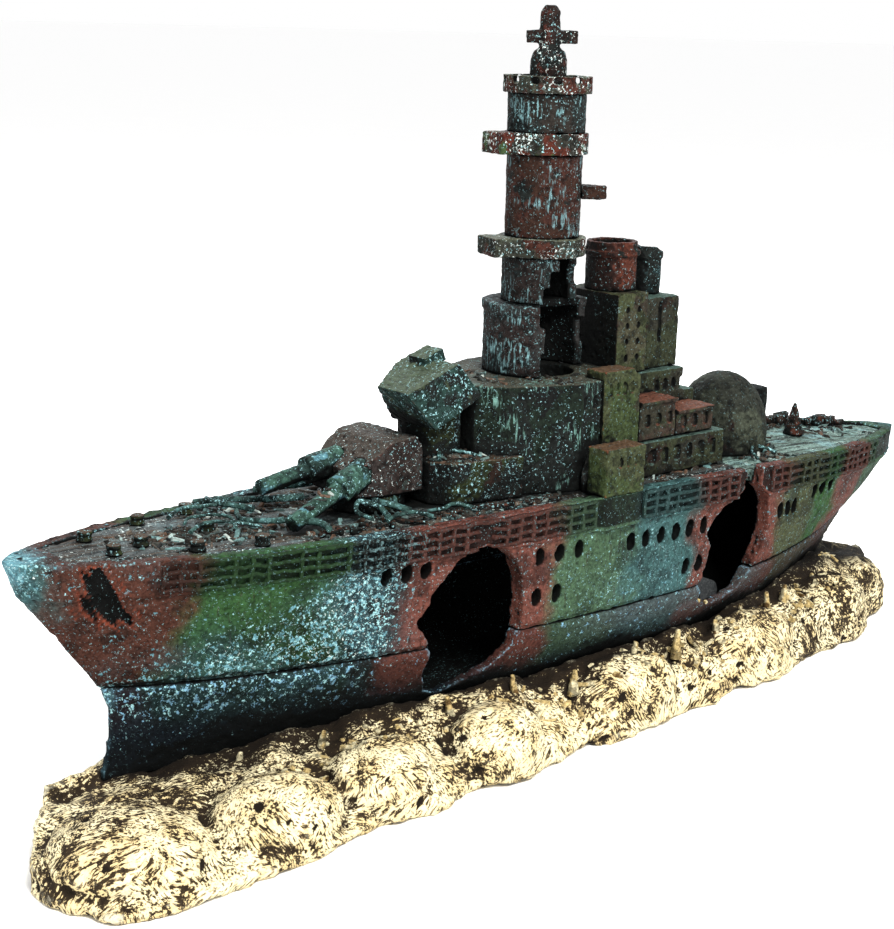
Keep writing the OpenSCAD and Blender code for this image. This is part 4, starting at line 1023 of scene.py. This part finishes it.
# node: voxel, paint key
SMALL_CASTINGS = {
    "gun_step": (0.42, "step"), "turret_a_base": (0.42, "step"), "turret_a_house": (0.38, "turret"),
    "turret_a_port_gun": (0.28, "gun"), "turret_a_starboard_gun": (0.28, "gun"), "turret_b_base": (0.42, "step"),
    "turret_b_house": (0.38, "tipped"), "bridge_block": (0.45, "bridge"),
    "port_window_tower": (0.34, "green_house"), "starboard_window_tower": (0.4, "green_house"),
    "port_sponson": (0.34, "green_house"), "starboard_sponson": (0.4, "green_house"),
    "lower_deckhouse": (0.42, "house"), "port_side_house": (0.32, "red_house"), "starboard_side_house": (0.38, "red_house"),
    "port_aft_house": (0.32, "red_house"), "starboard_aft_house": (0.38, "red_house"), "upper_deckhouse": (0.38, "house"),
    "mid_house": (0.36, "mid_tower"), "funnel_trunk": (0.36, "house"), "forward_funnel": (0.32, "red_funnel"),
    "aft_funnel": (0.28, "teal_funnel"), "tower_drum": (0.38, "drum"), "lower_shaft": (0.36, "low_shaft"),
    "lower_platform": (0.36, "rim"), "middle_shaft": (0.36, "red_tower"), "middle_platform": (0.36, "red_rim"),
    "upper_shaft": (0.34, "tower"), "top_platform": (0.32, "rim"), "mast_finial": (0.26, "mast"),
    "rangefinder_arm": (0.28, "red_tower"), "aft_turret_hood": (0.42, "hood"), "aft_turret_block": (0.42, "soot"),
    "bow_fittings": (0.26, "step"), "fore_wreckage": (0.24, "debris"), "stern_wreckage": (0.3, "debris"),
    "coral_tufts": (0.3, "coral"),
}


# For each finish: three colours, patch size, edge colour, wear, specks, then anything special
SMALL_PAINTS = {
    "step": (CHARCOAL, (0.026, 0.034, 0.014), DARK_RUST, 12, (0.22, 0.28, 0.22), 0.7, 0.7,
             dict(roof=(0.055, 0.038, 0.026), streak_colour=ICE, bloom=0.7, front_dark=0.5)),
    "turret": ((0.040, 0.032, 0.030), (0.028, 0.020, 0.018), (0.040, 0.055, 0.050), 9, WHITE, 0.8, 0.8,
               dict(shift=2, streak_colour=WHITE, bloom=0.3, roof=(0.050, 0.042, 0.036), red_front=0.9)),
    "gun": ((0.050, 0.115, 0.090), (0.022, 0.045, 0.040), SKY, 8, ICE, 1.0, 0.7, dict(bloom=0.4)),
    "tipped": ((0.020, 0.046, 0.040), CHARCOAL, (0.045, 0.060, 0.036), 8, ICE, 0.9, 0.8,
               dict(shift=5, bloom=0.7, roof=(0.055, 0.075, 0.050), red_front=0.3)),
    "bridge": (CHARCOAL, (0.012, 0.020, 0.014), (0.008, 0.009, 0.009), 14, (0.14, 0.22, 0.18), 0.8, 0.9,
               dict(streaks=0.9, streak_colour=(0.12, 0.24, 0.21), roof=(0.045, 0.045, 0.034))),
    "green_house": (DRAB, (0.046, 0.066, 0.026), (0.032, 0.032, 0.020), 14, (0.16, 0.17, 0.11), 0.6, 0.25,
                    dict(red_front=1.0, roof=(0.075, 0.045, 0.026))),
    "mid_tower": (DRAB, (0.060, 0.058, 0.036), (0.036, 0.030, 0.022), 12, (0.16, 0.17, 0.12), 0.6, 0.25,
                  dict(front_dark=0.97, red_front=0.4, shift=6)),
    "house": ((0.030, 0.030, 0.022), (0.034, 0.040, 0.022), DARK_RUST, 11, (0.16, 0.24, 0.20), 0.8, 0.3,
              dict(shift=9, front_dark=0.8, roof=(0.050, 0.085, 0.072))),
    "red_house": ((0.036, 0.034, 0.024), (0.048, 0.034, 0.026), (0.040, 0.046, 0.026), 9, (0.20, 0.10, 0.07), 0.9, 0.25,
                  dict(shift=4, front_dark=0.6, roof=(0.110, 0.045, 0.030))),
    "red_funnel": ((0.060, 0.024, 0.018), (0.090, 0.028, 0.018), CHARCOAL, 8, (0.20, 0.26, 0.24), 0.8, 0.5,
                   dict(front_dark=0.75)),
    "teal_funnel": ((0.012, 0.026, 0.028), CHARCOAL, (0.030, 0.055, 0.058), 6, WHITE, 0.9, 0.7, dict(bloom=0.8)),
    "tower": ((0.020, 0.025, 0.024), (0.026, 0.022, 0.019), (0.016, 0.022, 0.023), 10, ICE, 0.9, 0.6,
              dict(shift=3, streaks=1.0, streak_colour=(0.13, 0.25, 0.27), bloom=0.6)),
    "drum": ((0.030, 0.030, 0.030), (0.030, 0.022, 0.021), (0.016, 0.022, 0.023), 10, ICE, 0.9, 0.6,
             dict(shift=3, streaks=1.0, streak_colour=(0.15, 0.28, 0.30), bloom=0.6, hollow=12.0)),
    "low_shaft": ((0.020, 0.022, 0.022), (0.020, 0.015, 0.014), (0.012, 0.018, 0.018), 10, ICE, 0.9, 0.6,
                  dict(shift=3, streaks=0.7, streak_colour=(0.12, 0.22, 0.24), bloom=0.4, hollow=8.0)),
    "red_tower": ((0.036, 0.018, 0.013), (0.050, 0.020, 0.015), CHARCOAL, 11, ICE, 0.8, 0.5,
                  dict(shift=7, streaks=1.0, streak_colour=(0.12, 0.22, 0.24), bloom=0.3)),
    "rim": ((0.032, 0.034, 0.027), (0.060, 0.022, 0.016), (0.060, 0.070, 0.050), 7, WHITE, 1.2, 0.8,
            dict(bloom=0.8, streak_colour=WHITE, roof=(0.08, 0.085, 0.06))),
    "red_rim": ((0.085, 0.022, 0.014), (0.030, 0.030, 0.025), (0.045, 0.075, 0.030), 8, WHITE, 1.1, 1.0,
                dict(bloom=1.0, streak_colour=WHITE)),
    "mast": ((0.022, 0.014, 0.012), CHARCOAL, (0.060, 0.020, 0.015), 5, (0.30, 0.36, 0.34), 1.0, 0.8,
             dict(bloom=0.6, streak_colour=WHITE)),
    "hood": ((0.062, 0.072, 0.052), (0.030, 0.034, 0.027), DARK_RUST, 14, (0.14, 0.15, 0.11), 0.5, 0.2, dict(front_dark=0.6)),
    "soot": ((0.007, 0.008, 0.008), CHARCOAL, SOOT_AND_SHADE, 10, (0.05, 0.06, 0.055), 0.5, 0.1, {}),
    "debris": ((0.040, 0.024, 0.018), CHARCOAL, (0.10, 0.035, 0.022), 4, (0.30, 0.34, 0.30), 1.0, 1.0, dict(bloom=0.8)),
    "pipe": ((0.050, 0.110, 0.100), (0.022, 0.042, 0.040), (0.10, 0.22, 0.22), 4, ICE, 1.0, 1.0,
             dict(bloom=1.0, grime=0.3)),
    "stone": ((0.045, 0.047, 0.044), (0.028, 0.030, 0.029), (0.060, 0.064, 0.060), 4, (0.14, 0.16, 0.15), 0.6, 0.3, {}),
    "coral": (SAND_LIGHT, SAND_MID, SAND_BROWN, 6, (0.9, 0.85, 0.7), 1.0, 0.1, dict(grime=0.6)),
}
made_paints = {}


def small_paint(key):
    if key not in made_paints:
        *colours, size, edge_colour, wear, specks, special = SMALL_PAINTS[key]
        made_paints[key] = blotched(key + "_paint", *colours, size, edge_colour, wear, specks, **special)
    return made_paints[key]


def make_small_castings():
    for node, (voxel, key) in SMALL_CASTINGS.items():
        piece = casting(node + "_cast", [node], small_paint(key), voxel, lump=0.5, chip=0.9, grain=0.28, lump_size=3.5,
                        chip_size=2.4, grain_size=0.9, reach=4, gain=11, shade=20)
        stand_for(piece, "ornament", node)


def make_rock():
    piece = casting("rock_base_cast", ["rock_base"], rock_paint("rock_paint"), 0.9, lump=2.2, chip=2.4, grain=0.9,
                    lump_size=9, chip_size=5.5, grain_size=2.2, reach=7, gain=4.5, shade=16)
    mesh = piece.data
    floor = cad_box[0].z
    for v in mesh.vertices:
        v.co.z = max(v.co.z, floor)
    stand_for(piece, "ornament", "rock_base")


def finish_fittings():
    plastics = {
        "air_sleeve": ((0.03, 0.032, 0.035), 0.5), "bubbler_body": ((0.045, 0.05, 0.055), 0.45),
        "cartridge_seal": ((0.012, 0.012, 0.012), 0.7), "inlet_elbow": ((0.72, 0.75, 0.74), 0.35),
        "mast_rod": ((0.5, 0.51, 0.52), 0.35), "hull_pegs": ((0.33, 0.33, 0.30), 0.7)}
    for node, (colour, roughness) in plastics.items():
        finish = plain_finish(node + "_finish", colour, roughness, 0.8, 0.03)
        dress(node, finish)
    stone = plain_finish("air_stone_finish", (0.030, 0.034, 0.038), 0.95, 0.5, 0.35, (0.07, 0.08, 0.085))
    dress("air_stone", stone)


def dress(node, finish):
    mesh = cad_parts[node].data
    mesh.materials.clear()
    mesh.materials.append(finish)


def lay_floor():
    floor = bpy.data.meshes.new("floor")
    size = 60.0
    floor.from_pydata([(-size, -size, 0), (size, -size, 0), (size, size, 0), (-size, size, 0)], [], [(0, 1, 2, 3)])
    piece = link("floor", floor)
    piece.location.z = cad_box[0].z - 0.0002
    paint = Paint("floor_paper", 0.9, 0.1)
    paint.colour(paint.mix((0.99, 0.99, 0.99), (0.97, 0.97, 0.97), paint.noise(60, 2)))
    floor.materials.append(paint.material)


place_camera()
light_studio()
make_hull()
make_decks()
make_small_castings()
make_rock()
make_rails()
make_litter()
make_pipes()
make_stones()
finish_fittings()
lay_floor()
bpy.data.objects.remove(AROUND)
